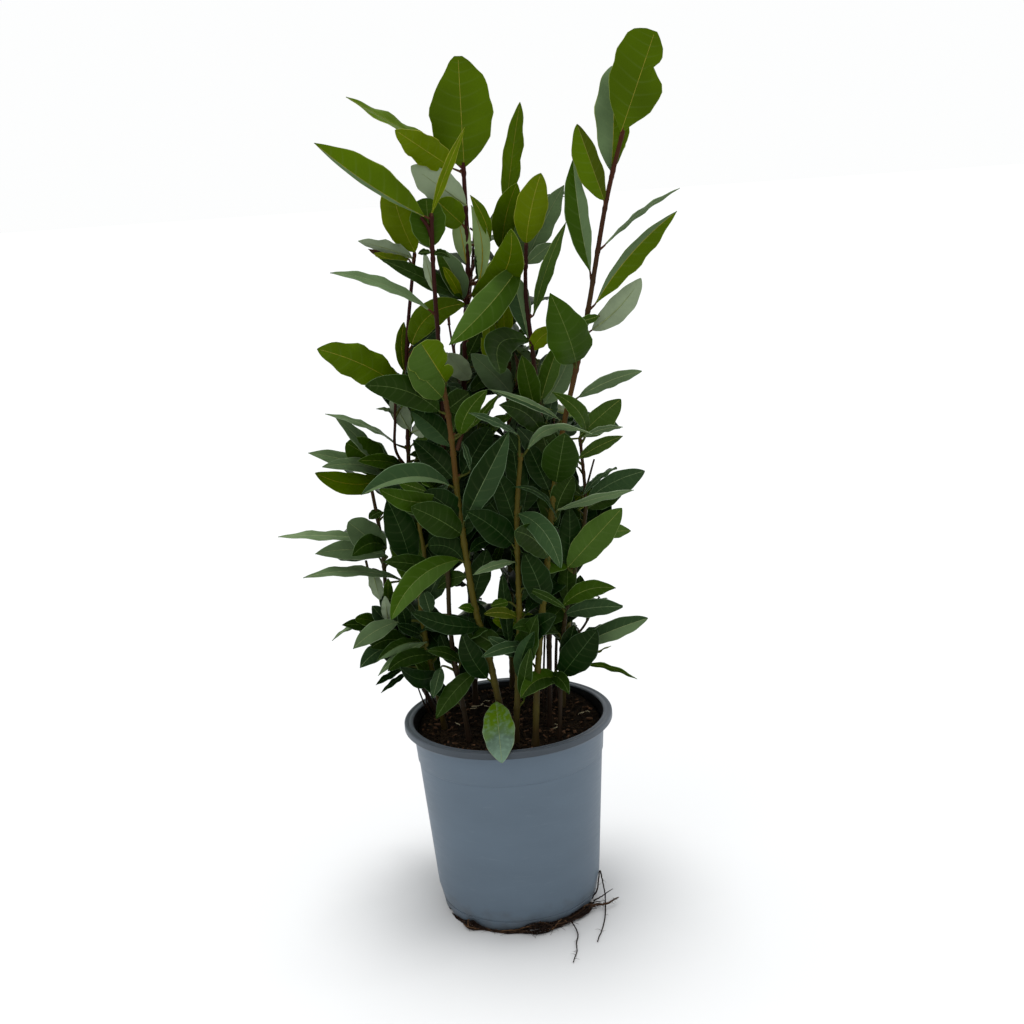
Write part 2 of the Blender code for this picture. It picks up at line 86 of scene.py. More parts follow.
# Stems close to the part's: points foot first, radius above the foot and at the tip, side of
# the shrub, and the material slot of the bark
SOIL_TOP = 0.1700
FLARE_HEIGHT = 0.012
FLARE = 1.45
LIMB_STEP = 0.0016
Stem = namedtuple("Stem", "points foot_radius tip_radius side slot")
STEMS = {
    "stem_front_left": Stem([(-.003, -.033, SOIL_TOP), (-.013, -.039, .247), (-.023, -.044, .304),
        (-.029, -.050, .385), (-.031, -.056, .450), (-.035, -.060, .502)],
        .0031, .0020, "front", "bark_olive"),
    "stem_left_centre": Stem([(-.036, -.034, SOIL_TOP), (-.045, -.033, .265), (-.043, -.033, .338),
        (-.037, -.031, .480), (-.036, -.030, .579), (-.034, -.030, .633)],
        .0022, .0017, "centre", "bark_brown"),
    "stem_centre": Stem([(-.030, .045, SOIL_TOP), (-.027, .036, .280), (-.022, .024, .430),
        (-.014, .016, .526), (-.007, .011, .590), (-.005, .005, .672)],
        .0028, .0018, "centre", "bark_brown"),
    "stem_right_centre": Stem([(.037, -.010, SOIL_TOP), (.043, -.011, .289), (.047, -.012, .400),
        (.043, -.014, .504), (.040, -.015, .560), (.043, -.015, .605)],
        .0025, .0016, "right", "bark_brown"),
    "stem_right_tall": Stem([(.022, -.054, SOIL_TOP), (.029, -.051, .243), (.043, -.048, .336),
        (.059, -.044, .431), (.086, -.041, .530), (.109, -.037, .630), (.127, -.035, .690)],
        .0029, .0018, "right", "bark_olive"),
    "stem_left": Stem([(-.058, .050, SOIL_TOP), (-.073, .046, .280), (-.075, .038, .359),
        (-.072, .029, .435), (-.066, .020, .516), (-.052, .010, .600)],
        .0023, .0015, "left", "bark_brown"),
    "stem_back": Stem([(.006, .074, SOIL_TOP), (.010, .072, .266), (.016, .065, .365),
        (.021, .058, .460), (.025, .052, .542), (.031, .045, .636)],
        .0030, .0018, "back", "bark_olive"),
    "stem_front": Stem([(.005, -.044, SOIL_TOP), (.015, -.049, .280), (.019, -.053, .374),
        (.026, -.055, .432)],
        .0028, .0018, "front", "bark_olive"),
    "stem_right_low": Stem([(.044, -.043, SOIL_TOP), (.052, -.038, .260), (.067, -.035, .322),
        (.079, -.032, .374), (.078, -.030, .438)],
        .0019, .0014, "right", "bark_brown"),
    "stem_far_left": Stem([(-.066, .036, SOIL_TOP), (-.085, .031, .222), (-.101, .015, .292),
        (-.101, .002, .347), (-.105, -.010, .402)],
        .0024, .0015, "left", "bark_brown"),
    "stem_left_low": Stem([(-.059, .002, SOIL_TOP), (-.068, -.014, .256), (-.070, -.022, .301),
        (-.063, -.029, .339), (-.065, -.035, .374)],
        .0023, .0016, "left", "bark_olive"),
    "stem_back_right": Stem([(.051, .030, SOIL_TOP), (.058, .035, .225), (.065, .040, .272),
        (.068, .045, .330), (.066, .052, .402)],
        .0026, .0017, "back", "bark_olive"),
    "shoot_left": Stem([(-.0730, .0325, .405), (-.083, .020, .428), (-.081, .015, .456),
        (-.077, .010, .492)], .0014, .0012, "left", "bark_brown"),
    "shoot_far_left": Stem([(-.0950, .0225, .262), (-.107, .027, .284), (-.115, .020, .308),
        (-.118, .015, .330)], .0014, .0012, "left", "bark_brown"),
}
SIDES = ("front", "centre", "right", "left", "back")

# The CAD masses of foliage that the leaves of each side stand for
MASSES = {
    "front": ["front_left_top", "left_arm", "left_droop", "front_centre", "front_arch",
              "centre_low", "centre_low_left"],
    "centre": ["crown_tip", "crown_left", "crown_front", "upper_left", "centre_left_arm",
               "back_top"],
    "right": ["right_centre_top", "right_centre_back", "centre_front", "top_right",
              "top_right_back", "right_inner", "right_arm", "right_front", "right_low_top",
              "right_middle_arm", "right_middle_low", "right_low_arm", "back_right_high"],
    "left": ["left_top", "left_middle", "far_left_high", "left_fan", "far_left_arm",
             "far_left_low", "low_left_fan", "back_left_high", "back_left", "back_left_low"],
    "back": ["upright_centre", "back_middle", "back_right", "back_low", "back_right_low"],
}

# Leaf colours as screen values: upper side, underside, margin and midrib
TINTS = {
    "young": ((86, 104, 0), (136, 150, 84), (122, 124, 20), (134, 128, 30)),
    "fresh": ((66, 88, 0), (122, 142, 92), (104, 118, 30), (128, 118, 26)),
    "jade": ((56, 80, 26), (112, 132, 90), (92, 110, 48), (106, 114, 44)),
    "mid": ((41, 65, 4), (104, 126, 84), (76, 100, 40), (88, 102, 34)),
    "deep": ((26, 46, 6), (76, 98, 64), (56, 80, 34), (70, 90, 34)),
    # dark: the tint of leaves deep in the crown, their own dark green deepened with painted shade
    "dark": ((12, 33, 6), (60, 82, 54), (38, 62, 28), (52, 76, 30)),
    "blue": ((40, 61, 34), (92, 114, 88), (84, 106, 74), (88, 106, 66)),
    "sage": ((82, 102, 68), (132, 146, 118), (112, 128, 96), (110, 122, 78)),
    "pale": ((128, 142, 110), (136, 150, 122), (140, 152, 120), (120, 132, 92)),
    "olive": ((54, 66, 2), (104, 116, 62), (92, 100, 30), (108, 106, 26)),
    "withered": ((64, 42, 26), (74, 52, 34), (84, 62, 40), (60, 40, 26)),
}
# Petioles are olive low on the plant and reddish near the top
PETIOLE_COLOURS = {"petiole_low": (56, 60, 16), "petiole_high": (66, 38, 20)}
PETIOLE_CHANGE_HEIGHT = 0.50

# Outline of a leaf: powers of the distance from its foot and from its tip
OUTLINES = {
    "lance": (0.95, 0.98),
    "oval": (0.72, 0.76),
    "ovate": (0.55, 0.92),
    "round": (0.58, 0.52),
    "spoon": (1.05, 0.55),
}
# Outlines that no such power fits, as (share of length, share of half width) down each half
DRAWN_OUTLINES = {
    "egg": ([(0, .05), (.06, .40), (.12, .66), (.29, .90), (.50, 1.0), (.67, .84), (.83, .50),
             (.95, .30), (1, .12)],
            [(0, .05), (.06, .30), (.12, .54), (.29, .90), (.50, 1.0), (.67, .92), (.83, .74),
             (.95, .36), (1, .12)]),
    "notched": ([(0, .05), (.10, .30), (.25, .74), (.50, 1.04), (.62, 1.0), (.75, 1.04),
                 (.90, .90), (.97, .66), (1, .30)],
                [(0, .05), (.10, .30), (.25, .72), (.40, .90), (.50, .90), (.60, .72),
                 (.66, .24), (.70, .46), (.78, .53), (.87, .46), (.95, .26), (1, .08)]),
    "blunt": ([(0, .05), (.10, .22), (.25, .50), (.50, .88), (.75, 1.0), (.90, .84), (1, .40)],
              [(0, .05), (.10, .42), (.25, .60), (.34, .52), (.40, .20), (.47, .52), (.55, .64),
               (.75, .78), (.90, .64), (1, .30)]),
}
LEAF_SPECULAR = 0.06
LEAF_SPECULAR_TINT = (1, 1, 0.6, 1)
VEIN_COLOUR = (150, 165, 110)
VEIN_PALENESS = 0.45
VEIN_SHARPNESS = 9.0
VEIN_FADE = 1.7
GRAIN_SCALE = 520
GRAIN_DEPTH = 0.0003

# The blade's grid and sizes in metres. Its veins and rows sweep towards the tip at the margins
LEAF_ROWS = 20
LEAF_COLUMNS = 5
LEAF_THICKNESS = 0.00038
MARGIN_WIDTH = 0.0004
LEAST_FOOT_HALF = 0.0006
LEAST_TIP_HALF = 0.00025
VEIN_SWEEP = 0.12
SWEEP_POWER = 1.3
QUILT = 0.00022
# A margin's ripple, as a share of the half width and in height, and how far the second lags
RIPPLE_SHARE = 0.035
RIPPLE_RISE = 0.00085
RIPPLE_LAG = 0.9
# How far each half curls down at its margin, and how much of the fold is gone at the tip
HALF_CURL = 0.16
FOLD_LOSS = 0.45
# Ranges of what no table gives: bow and droop as shares of the length, twist in degrees, and
# the waves along a margin
BOWS = (-0.02, 0.08)
DROOPS = (0, 0.06)
TWISTS = (-14, 14)
WAVES = (2.6, 4.2)

# The midrib and the petiole, which leaves its stem outwards and upwards, from inside it and
# STALK_START rings below the one nearest to the leaf
RIB_RINGS = 13
RIB_END = 0.965
RIB_TAPER = 0.8
RIB_RISE = 0.00012
RIB_FOOT_RADIUS = 0.00075
RIB_TIP_RADIUS = 0.00018
RIB_WIDTH_SHARE = 0.06
RIB_SIDES = 6
STALK_RADIUS = 0.0016
STALK_TAPER = 0.6
STALK_RINGS = 8
STALK_START = 4
STALK_OUT = 0.8
STALK_UP = 0.6
STALK_PULL = 0.9
TWIG_SIDES = 8
# A bud's rings, its radius as a share of its length, the range of lengths in mm, and how often
# a placed leaf has one
BUD_RINGS = 6
BUD_FULLNESS = 0.32
BUD_LENGTHS = (2.2, 3.6)
BUD_CHANCE = 0.6

# The leaves seen in the photograph, by the stem that carries them. foot and tip are pixels, depth
# is the tip's place in Y in mm, width is in mm, turn is about the leaf's own length (0 shows the
# upper side, 180 the underside), arch is its bend as a share of its length (up, or to the right
# on an upright leaf), fold is the angle between its halves and the flat, wave is how wavy its
# margin is, and lean is how much wider its right half is than its left, seen from foot to tip.
# A tint with two names gives the left half the first and the right half the second: painted
# reflection, each half tinted as it catches the light at its own angle.
Leaf = namedtuple("Leaf", "foot tip depth width tint turn arch shape fold wave lean",
                  defaults=(0, 0, "lance", 12, 1, 0))
LEAVES = {
    "stem_centre": [
        Leaf((464, 167), (458, 56), 0, 54, "fresh", 4, 0, "egg", 8, .8),
        Leaf((446, 154), (346, 97), -30, 22, "fresh", 66, 0, "lance", 20, 2),
        Leaf((452, 168), (395, 130), -44, 25, "young", -10, 0, "oval", 8, 2),
        Leaf((466, 205), (411, 166), -18, 29, "sage", 186, 0, "oval", 16, 1.5),
        Leaf((462, 224), (437, 201), -20, 25, "fresh", 5, 0, "round", 15),
        Leaf((467, 265), (457, 212), 10, 16, "fresh", 168, 0, "lance", 10),
        Leaf((479, 282), (471, 205), 5, 14, "fresh", 172, .09, "lance", 10),
        Leaf((490, 240), (470, 195), 0, 11, "fresh", 10, .06, "lance", 20),
        Leaf((478, 280), (477, 248), 10, 6, "dark", 30, 0, "lance", 20),
        Leaf((463, 300), (380, 259), -38, 18, "deep", 30, .02, "lance", 25, 1.5),
        Leaf((463, 299), (437, 249), -22, 22, "mid|sage", 15, .04, "oval", 20),
        Leaf((461, 298), (443, 267), -30, 9, "young", 10, .02, "oval", 15),
        Leaf((472, 295), (511, 229), -62, 29, "fresh", 8, -.14, "oval", 14),
        Leaf((468, 340), (498, 317), -12, 11, "deep", 15, .2, "lance", 20),
        Leaf((470, 379), (446, 354), -5, 19, "pale", 5, 0, "oval", 15),
        Leaf((487, 364), (490, 316), 15, 16, "young|fresh", 30, 0, "lance", 15),
        Leaf((493, 566), (503, 541), 0, 9, "deep", 20),
        Leaf((468, 356), (481, 330), 10, 13, "deep", 4),
    ],
    "stem_left_centre": [
        Leaf((432, 213), (465, 127), -55, 9, "young", 20, .02, "lance", 25),
        Leaf((424, 216), (314, 143), -58, 22, "sage|fresh", 12, -.03, "lance", 20, 1, .7),
        Leaf((430, 247), (426, 198), -20, 30, "mid", 8, 0, "round"),
        Leaf((434, 255), (450, 258), -40, 7, "deep", 30, .2, "lance", 20),
        Leaf((431, 253), (418, 254), -36, 6, "deep", 20, .1, "lance", 20),
        Leaf((434, 292), (424, 252), -22, 9, "sage", 160, 0, "lance", 10),
        Leaf((428, 309), (330, 273), -62, 15, "sage", 50, .07, "lance", 20),
        Leaf((478, 670), (436, 719), -52, 18, "deep", 8, .06),
        Leaf((441, 667), (433, 698), -60, 12, "blue", 20, 0, "lance", 10),
        Leaf((460, 662), (426, 651), -52, 11, "deep", 10, .1, "lance", 10),
        Leaf((430, 612), (424, 592), -25, 14, "blue", 0, 0, "round", 10),
        Leaf((452, 664), (440, 634), -30, 13, "dark", 8, 0, "oval"),
        Leaf((428, 492), (398, 482), -10, 11, "mid", 8),
    ],
    "stem_front_left": [
        Leaf((446, 382), (421, 343), -100, 38, "jade|fresh", 4, 0, "blunt", 10, 1.5),
        Leaf((439, 411), (365, 386), -102, 25, "deep", 4, .09, "oval"),
        Leaf((447, 410), (469, 393), -45, 21, "deep", 10, 0, "oval"),
        Leaf((461, 434), (487, 390), -88, 17, "mid", 12, .08, "oval", 16),
        Leaf((469, 429), (499, 394), -60, 7, "mid", 20, 0, "lance", 20),
        Leaf((451, 447), (411, 411), -32, 22, "blue|dark", 10, .05),
        Leaf((453, 478), (413, 440), -25, 24, "dark", 10, .02, "ovate", 15),
        Leaf((462, 474), (490, 427), -18, 26, "dark", 8, 0, "oval"),
        Leaf((470, 470), (461, 440), -48, 6, "blue", 30, .05),
        Leaf((449, 485), (361, 495), -106, 17, "sage|blue", 8, .12, "lance", 18, 1, .45),
        Leaf((446, 499), (379, 489), -82, 18, "mid", 0, -.1, "oval"),
        Leaf((461, 534), (411, 507), -80, 27, "deep", 4, .03, "oval", 10),
        Leaf((459, 522), (424, 492), -60, 24, "dark", 5, .08, "oval", 10),
        Leaf((464, 562), (428, 546), -50, 22, "dark", 0, .18, "round", 10),
        Leaf((459, 560), (391, 620), -102, 22, "jade|mid", 6, .13, "oval"),
        Leaf((464, 521), (509, 431), -92, 25, "dark|blue", 8),
        Leaf((479, 627), (411, 612), -92, 17, "dark", 12, -.05, "oval"),
        Leaf((474, 612), (458, 608), -62, 8, "mid", 10, .1, "lance", 10),
        Leaf((468, 576), (437, 589), -22, 14, "deep", 10, .08, "lance", 10),
        Leaf((487, 678), (462, 634), -62, 21, "dark", 5, -.05, "oval", 10),
        Leaf((472, 602), (487, 549), -30, 20, "dark", 8, 0, "oval"),
        Leaf((470, 552), (491, 541), -26, 11, "dark", 10, .1, "oval"),
        Leaf((496, 702), (502, 763), -104, 28, "fading", 4, 0, "oval", 10),
        Leaf((442, 397), (408, 362), -92, 24, "jade", 4, 0, "oval"),
    ],
    "stem_right_centre": [
        Leaf((526, 243), (541, 173), -30, 27, "young", 5, -.03, "oval", 10),
        Leaf((526, 262), (564, 185), 5, 22, "sage", 20, .02, "lance", 15, 1.5),
        Leaf((526, 264), (552, 243), -6, 14, "sage", 20, 0, "lance", 15),
        Leaf((534, 314), (566, 222), -42, 14, "jade", 30, .03, "lance", 25),
        Leaf((528, 338), (513, 277), -8, 20, "blue|sage", 8, 0, "spoon", 14),
        Leaf((522, 262), (449, 345), -88, 27, "mid|jade", 0, -.03),
        Leaf((529, 341), (501, 374), -70, 27, "deep", 5, .28, "round", 20),
        Leaf((535, 410), (522, 356), -42, 19, "mid", 8, 0, "oval"),
        Leaf((532, 350), (553, 330), -20, 16, "young", 12, .1, "round", 14),
        Leaf((541, 400), (560, 343), -14, 17, "mid|jade", 10, .02, "oval", 14),
        Leaf((544, 404), (571, 352), 0, 21, "sage", 14, -.04, "oval", 14),
        Leaf((547, 420), (554, 395), 4, 14, "blue", 15, 0, "oval", 10),
        Leaf((543, 436), (499, 405), -66, 22, "deep", 15, .1, "lance", 14),
        Leaf((556, 440), (553, 424), -8, 11, "sage", 20, 0, "round", 10),
    ],
    "stem_back": [
        Leaf((506, 212), (520, 102), 38, 18, "fresh", 15, -.01, "oval", 22, 2.2),
        Leaf((502, 250), (517, 183), 25, 24, "fresh", 12, -.05, "oval", 14),
        Leaf((503, 338), (498, 292), 22, 18, "young", 10, .05, "oval"),
        Leaf((511, 394), (471, 354), -2, 25, "sage", 6, .02, "oval"),
        Leaf((512, 392), (514, 352), 20, 6, "withered", 20, .1, "lance", 40),
    ],
    "stem_right_tall": [
        Leaf((621, 132), (655, 31), -44, 47, "fresh", 3, 0, "notched", 8, .6),
        Leaf((611, 171), (612, 66), 0, 30, "sage|fresh", 12, .02, "oval", 18, 2, -.1),
        Leaf((604, 200), (577, 124), -56, 22, "fresh|olive", 8, 0, "oval", 14, 1.5, -.25),
        Leaf((590, 271), (573, 159), -30, 21, "mid|sage", 10, -.02, "lance", 22, 1.5, -.2),
        Leaf((606, 244), (680, 188), -22, 9, "sage", 60, .05, "lance", 15, 1),
        Leaf((596, 303), (677, 211), -52, 18, "sage|fresh", 10, .05, "lance", 16, 2, .35),
        Leaf((592, 330), (641, 278), -36, 21, "sage", 172, -.06, "oval", 14),
        Leaf((599, 316), (577, 323), -60, 8, "mid", 10, 0, "lance", 10),
        Leaf((576, 362), (550, 293), -98, 36, "mid", 2, .02, "ovate", 10, 1.6),
        Leaf((579, 397), (642, 371), -54, 13, "sage", 26, .05, "oval", 14),
        Leaf((560, 420), (488, 389), -88, 7, "blue|sage", 20, .03, "lance", 15),
        Leaf((556, 482), (565, 433), -88, 31, "deep", 4, 0, "oval", 8),
        Leaf((556, 512), (573, 476), -48, 20, "deep", 10, .05, "oval"),
        Leaf((558, 510), (634, 490), -72, 11, "sage", 48, .02, "lance", 15),
        Leaf((548, 557), (515, 531), -86, 24, "deep", 4, .08, "round"),
        Leaf((544, 604), (524, 553), -58, 25, "dark", 10, .04, "oval"),
        Leaf((583, 437), (623, 427), -62, 7, "sage", 30, .06, "lance", 15),
        Leaf((556, 517), (513, 487), -92, 6, "dark", 30, .12, "lance", 15),
        Leaf((549, 490), (527, 443), -40, 20, "dark", 10, 0, "oval"),
    ],
    "stem_front": [
        Leaf((528, 449), (592, 434), -100, 11, "sage", 48, .18, "lance", 15),
        Leaf((517, 434), (469, 413), -96, 9, "blue", 45, .03, "lance", 15),
        Leaf((518, 452), (508, 433), -58, 12, "dark", 10, 0, "oval"),
        Leaf((521, 506), (512, 440), -30, 19, "dark", 10, 0, "oval"),
        Leaf((523, 512), (536, 442), -25, 26, "dark", 10, 0, "oval"),
        Leaf((517, 530), (496, 472), -52, 22, "dark", 8, .02, "oval"),
        Leaf((519, 514), (561, 568), -116, 19, "blue", 4, .1, "oval"),
        Leaf((512, 544), (466, 511), -72, 26, "dark", 6, .04, "ovate", 14),
        Leaf((515, 562), (473, 575), -82, 8, "sage", 20, .05),
        Leaf((524, 588), (566, 609), -84, 8, "deep", 20, .04, "lance", 16),
        Leaf((516, 617), (484, 614), -66, 10, "olive", 10, .08, "oval"),
        Leaf((508, 602), (491, 606), -60, 10, "mid", 10, 0, "oval"),
        Leaf((509, 644), (502, 574), -40, 13, "dark", 10, 0, "oval"),
        Leaf((518, 655), (488, 637), -70, 12, "blue", 10, 0, "oval"),
        Leaf((526, 646), (482, 657), -90, 11, "blue", 10, .05, "oval"),
        Leaf((519, 678), (534, 632), -86, 14, "blue|dark", 10, .05, "oval"),
        Leaf((524, 700), (531, 646), -72, 13, "deep", 8, -.03, "lance", 14),
    ],
    "stem_right_low": [
        Leaf((586, 434), (552, 392), -78, 14, "mid", 8, .1),
        Leaf((580, 436), (621, 399), -34, 22, "jade", 10, .02, "oval", 12, 1, .25),
        Leaf((578, 459), (623, 436), -40, 12, "jade", 10, .04, "lance", 14),
        Leaf((583, 495), (616, 468), -62, 8, "blue", 48, .06, "lance", 10),
        Leaf((588, 499), (645, 471), -44, 22, "blue", 12, .06, "oval", 20, 1, .25),
        Leaf((588, 508), (622, 494), -30, 15, "deep", 6, .04, "oval"),
        Leaf((568, 567), (622, 508), -58, 27, "jade", 6, 0, "oval"),
        Leaf((598, 534), (631, 531), -14, 13, "jade", 10, .03, "lance", 10),
        Leaf((567, 565), (569, 507), -32, 20, "dark", 10, .03, "oval", 10),
        Leaf((563, 606), (616, 588), -62, 17, "mid", 10, .12, "lance", 14, 1.5),
        Leaf((566, 614), (623, 607), -52, 16, "blue", 8, .05, "oval", 14, 1.5),
        Leaf((584, 643), (648, 618), -42, 18, "blue|sage", 8, .02, "oval"),
        Leaf((584, 664), (637, 679), -78, 10, "mid", 62, .06),
        Leaf((588, 661), (611, 646), -70, 4, "olive", 60, .05),
        Leaf((561, 679), (521, 698), -76, 18, "deep|mid", 8, .16, "oval", 14),
        Leaf((550, 676), (569, 694), -74, 13, "deep", 8, .12),
        Leaf((562, 675), (597, 630), -72, 29, "dark", 4, 0, "oval", 10),
        Leaf((566, 656), (574, 625), -50, 16, "dark", 4, 0, "oval", 10),
    ],
    "stem_left": [
        Leaf((415, 252), (391, 178), -12, 30, "young", 6, -.05, "oval", 10),
        Leaf((412, 258), (358, 241), -32, 15, "sage", 145, .02, "oval", 30, 1.5),
        Leaf((408, 259), (374, 253), -28, 10, "young", 10, -.06, "oval", 15),
        Leaf((388, 259), (368, 249), -34, 6, "withered", 10, 0, "lance", 20),
        Leaf((412, 345), (465, 304), 8, 24, "fresh", 8, .18, "oval"),
        Leaf((414, 350), (440, 326), 20, 18, "blue", 14, 0, "oval"),
        Leaf((405, 372), (404, 322), 24, 12, "fresh", 20, -.06, "oval"),
        Leaf((410, 430), (395, 396), 14, 17, "sage", 170, -.05, "round"),
        Leaf((412, 432), (441, 422), 14, 18, "sage", 172, 0, "oval"),
        Leaf((396, 416), (376, 409), 6, 4, "sage", 30, .1),
        Leaf((409, 382), (421, 352), 12, 14, "blue", 12, 0, "oval"),
        Leaf((396, 444), (325, 414), -34, 12, "sage", 66, .05),
        Leaf((404, 469), (358, 461), -34, 14, "mid", 15, .05, "oval", 14),
        Leaf((411, 473), (439, 462), -12, 9, "sage", 30, .05),
        Leaf((433, 457), (409, 455), -4, 8, "mid", 10, .05),
    ],
    "shoot_left": [
        Leaf((399, 386), (317, 349), -12, 31, "fresh", 6, .05, "oval", 8, 2.2),
        Leaf((380, 464), (335, 417), -14, 15, "sage", 30, .03, "lance", 16),
        Leaf((382, 472), (346, 443), -6, 30, "mid", 6, .05, "round", 10),
        Leaf((372, 471), (308, 453), 2, 15, "sage", 20, .04, "lance", 14),
        Leaf((382, 475), (322, 467), -30, 13, "sage", 20, .08, "oval", 10),
        Leaf((384, 480), (315, 473), -44, 20, "fresh", 8, -.07, "oval", 14),
    ],
    "stem_far_left": [
        Leaf((380, 541), (278, 537), -22, 13, "sage", 48, .03, "lance", 18, 1.5),
        Leaf((384, 553), (348, 522), -20, 28, "sage", 10, .02, "round"),
        Leaf((387, 556), (315, 554), -46, 18, "sage", 6, .06),
        Leaf((386, 547), (352, 556), -62, 17, "deep", 6, .1, "oval"),
        Leaf((382, 512), (369, 519), -10, 9, "deep", 10, .1, "oval"),
        Leaf((402, 580), (303, 578), -42, 14, "sage", 48, .07, "lance", 16, 1.5),
        Leaf((372, 570), (380, 600), -12, 13, "sage", 160, 0, "oval"),
        Leaf((388, 622), (385, 596), -22, 10, "sage", 172, 0, "oval"),
        Leaf((388, 601), (388, 578), -12, 9, "mid", 12),
    ],
    "shoot_far_left": [
        Leaf((380, 629), (342, 625), -8, 12, "deep", 20, .04),
        Leaf((372, 635), (332, 641), -14, 6, "sage", 62, .2),
        Leaf((380, 628), (355, 619), -2, 12, "mid", 10, .1, "round"),
        Leaf((389, 625), (372, 606), 6, 15, "blue", 10, 0, "oval"),
    ],
    "stem_left_low": [
        Leaf((411, 564), (387, 500), -32, 28, "dark", 6, .03, "oval"),
        Leaf((438, 572), (383, 562), -62, 17, "deep", 10, .05),
        Leaf((398, 622), (353, 649), -62, 17, "sage", 12, .06, "lance", 14),
        Leaf((409, 644), (371, 648), -42, 19, "deep", 8, .14, "oval"),
        Leaf((393, 646), (360, 668), -52, 16, "blue", 12, .08),
        Leaf((419, 642), (377, 661), -56, 12, "sage|deep", 12, .08),
        Leaf((427, 642), (378, 676), -66, 9, "sage", 10, .06, "lance", 16),
        Leaf((436, 656), (388, 671), -80, 15, "deep", 10, .08, "oval"),
        Leaf((440, 672), (400, 667), -86, 16, "dark", 4, -.1, "oval"),
        Leaf((404, 668), (376, 685), -50, 7, "dark", 30, .02),
        Leaf((407, 673), (381, 693), -46, 6, "dark", 30, .02),
        Leaf((408, 630), (401, 605), -28, 13, "dark", 8, 0, "oval"),
        Leaf((420, 634), (397, 625), -40, 10, "dark", 8, 0, "oval"),
    ],
}
# Screen colours of the one leaf that fades, at its foot and at its tip
FADING = ((76, 104, 8), (96, 120, 102))

# The outline of the dense part of the crown, and the gaps in it that show the background as
# ellipses (centre and half axes), both in pixels of the photograph
HEART = [(452, 352), (520, 330), (560, 380), (584, 420), (572, 470), (596, 500), (600, 550),
         (572, 590), (582, 640), (562, 680), (500, 684), (440, 684), (404, 664), (386, 640),
         (404, 600), (420, 560), (404, 500), (436, 474), (416, 440), (440, 400)]
WINDOWS = [(487, 399, 6, 10), (502, 402, 5, 5), (495, 413, 7, 8), (480, 428, 5, 7),
           (552, 428, 10, 9), (452, 602, 15, 15), (494, 584, 9, 18), (504, 667, 9, 13),
           (460, 567, 8, 7), (504, 549, 7, 9), (447, 670, 8, 12), (592, 620, 18, 8),
           (430, 652, 10, 6), (500, 508, 8, 12), (458, 648, 6, 14), (534, 645, 4, 8),
           (547, 650, 4, 18), (557, 655, 4, 18), (403, 520, 8, 14), (395, 590, 10, 16)]

# Thin bare stems between the others, which start a little below the soil: pixels upwards from
# it, depth gained on the way in mm and radius in mm
THIN_STEM_DEPTH = 0.003
THIN_STEM_RINGS = 24
THIN_STEM_TAPER = 0.75
THIN_STEMS = [
    ([(548, 706), (550, 652), (553, 596)], 10, 1.4),
    ([(562, 702), (562, 655), (563, 612)], 6, 1.0),
    ([(556, 706), (556, 655), (558, 604)], 8, 1.7),
    ([(543, 712), (544, 660), (546, 604)], 12, 1.2),
    ([(432, 718), (424, 703), (416, 682)], -8, 0.9),
    ([(434, 719), (427, 704), (425, 683)], -8, 0.8),
    ([(437, 716), (434, 700), (425, 684)], -8, 1.0),
]
# The bare side twig of the centre stem and the stoutest petioles: the stem that carries each,
# pixels from it to the end, and radius in mm
SIDE_TWIG_RINGS = 30
SIDE_TWIG_TAPER = 0.8
SIDE_TWIGS = [
    ("stem_centre", [(470, 276), (475, 263), (478, 248), (476, 234), (470, 228)], 1.1),
    ("stem_left_centre", [(432, 239), (428, 227), (421, 217)], 1.9),
    ("stem_front_left", [(457, 450), (460, 440), (464, 428)], 1.9),
]

# How far a grown leaf may pass the CAD box, and the depth at which one turns to the side
BOX_SPARE = 10 * MM
BACK_REACH = 0.140

# Grown leaves: tries for each, how much the heading strays and the length shrinks at each try,
# and the ranges of the petiole's length in mm, droop and width as shares of the length, the
# angles in degrees, and the rest of the shape
GROW_TRIES = 7
GROW_STRAY = 0.20
GROW_STRAY_GAIN = 0.07
GROW_SHRINK = 0.05
GROWN_STALKS = (5, 9)
GROWN_DROPS = (0, 0.16)
GROWN_WIDTHS = (0.32, 0.44)
GROWN_TURNS = (-12, 12)
GROWN_ARCHES = (-0.05, 0.05)
GROWN_FOLDS = (4, 24)
GROWN_WAVES = (0.7, 1.6)
GROWN_BOWS = (0.02, 0.10)
GROWN_SHAPES = {"lance": 5, "oval": 4, "ovate": 1}
# Leaves in front of this depth turn their upper side partly to the front
FACING_DEPTH = 0.04
FACING_FRONT = -0.9
FACING_STRAY = 0.38
LEAST_TIP_HEIGHT = 0.186
# Where the leaves of a stem start and end, and ranges of their spacing and length in mm
LEAST_NODE_HEIGHT = 0.196
BARE_FOOT = 0.022
BARE_TIP = 0.006
NODE_SPACINGS = (6, 10)
STEM_LEAF_LENGTHS = (52, 80)
TWIG_LEAF_LENGTHS = (50, 78)
GOLDEN_ANGLE = math.pi * (3 - math.sqrt(5))
# Leaf colours turn younger upwards from YOUNG_HEIGHT, over YOUNG_REACH, and brighter outwards
# from HEART_RADIUS, over HEART_REACH; the darker colours in the heart are painted shade
YOUNG_HEIGHT = 0.34
YOUNG_REACH = 0.30
HEART_RADIUS = 0.04
HEART_REACH = 0.05

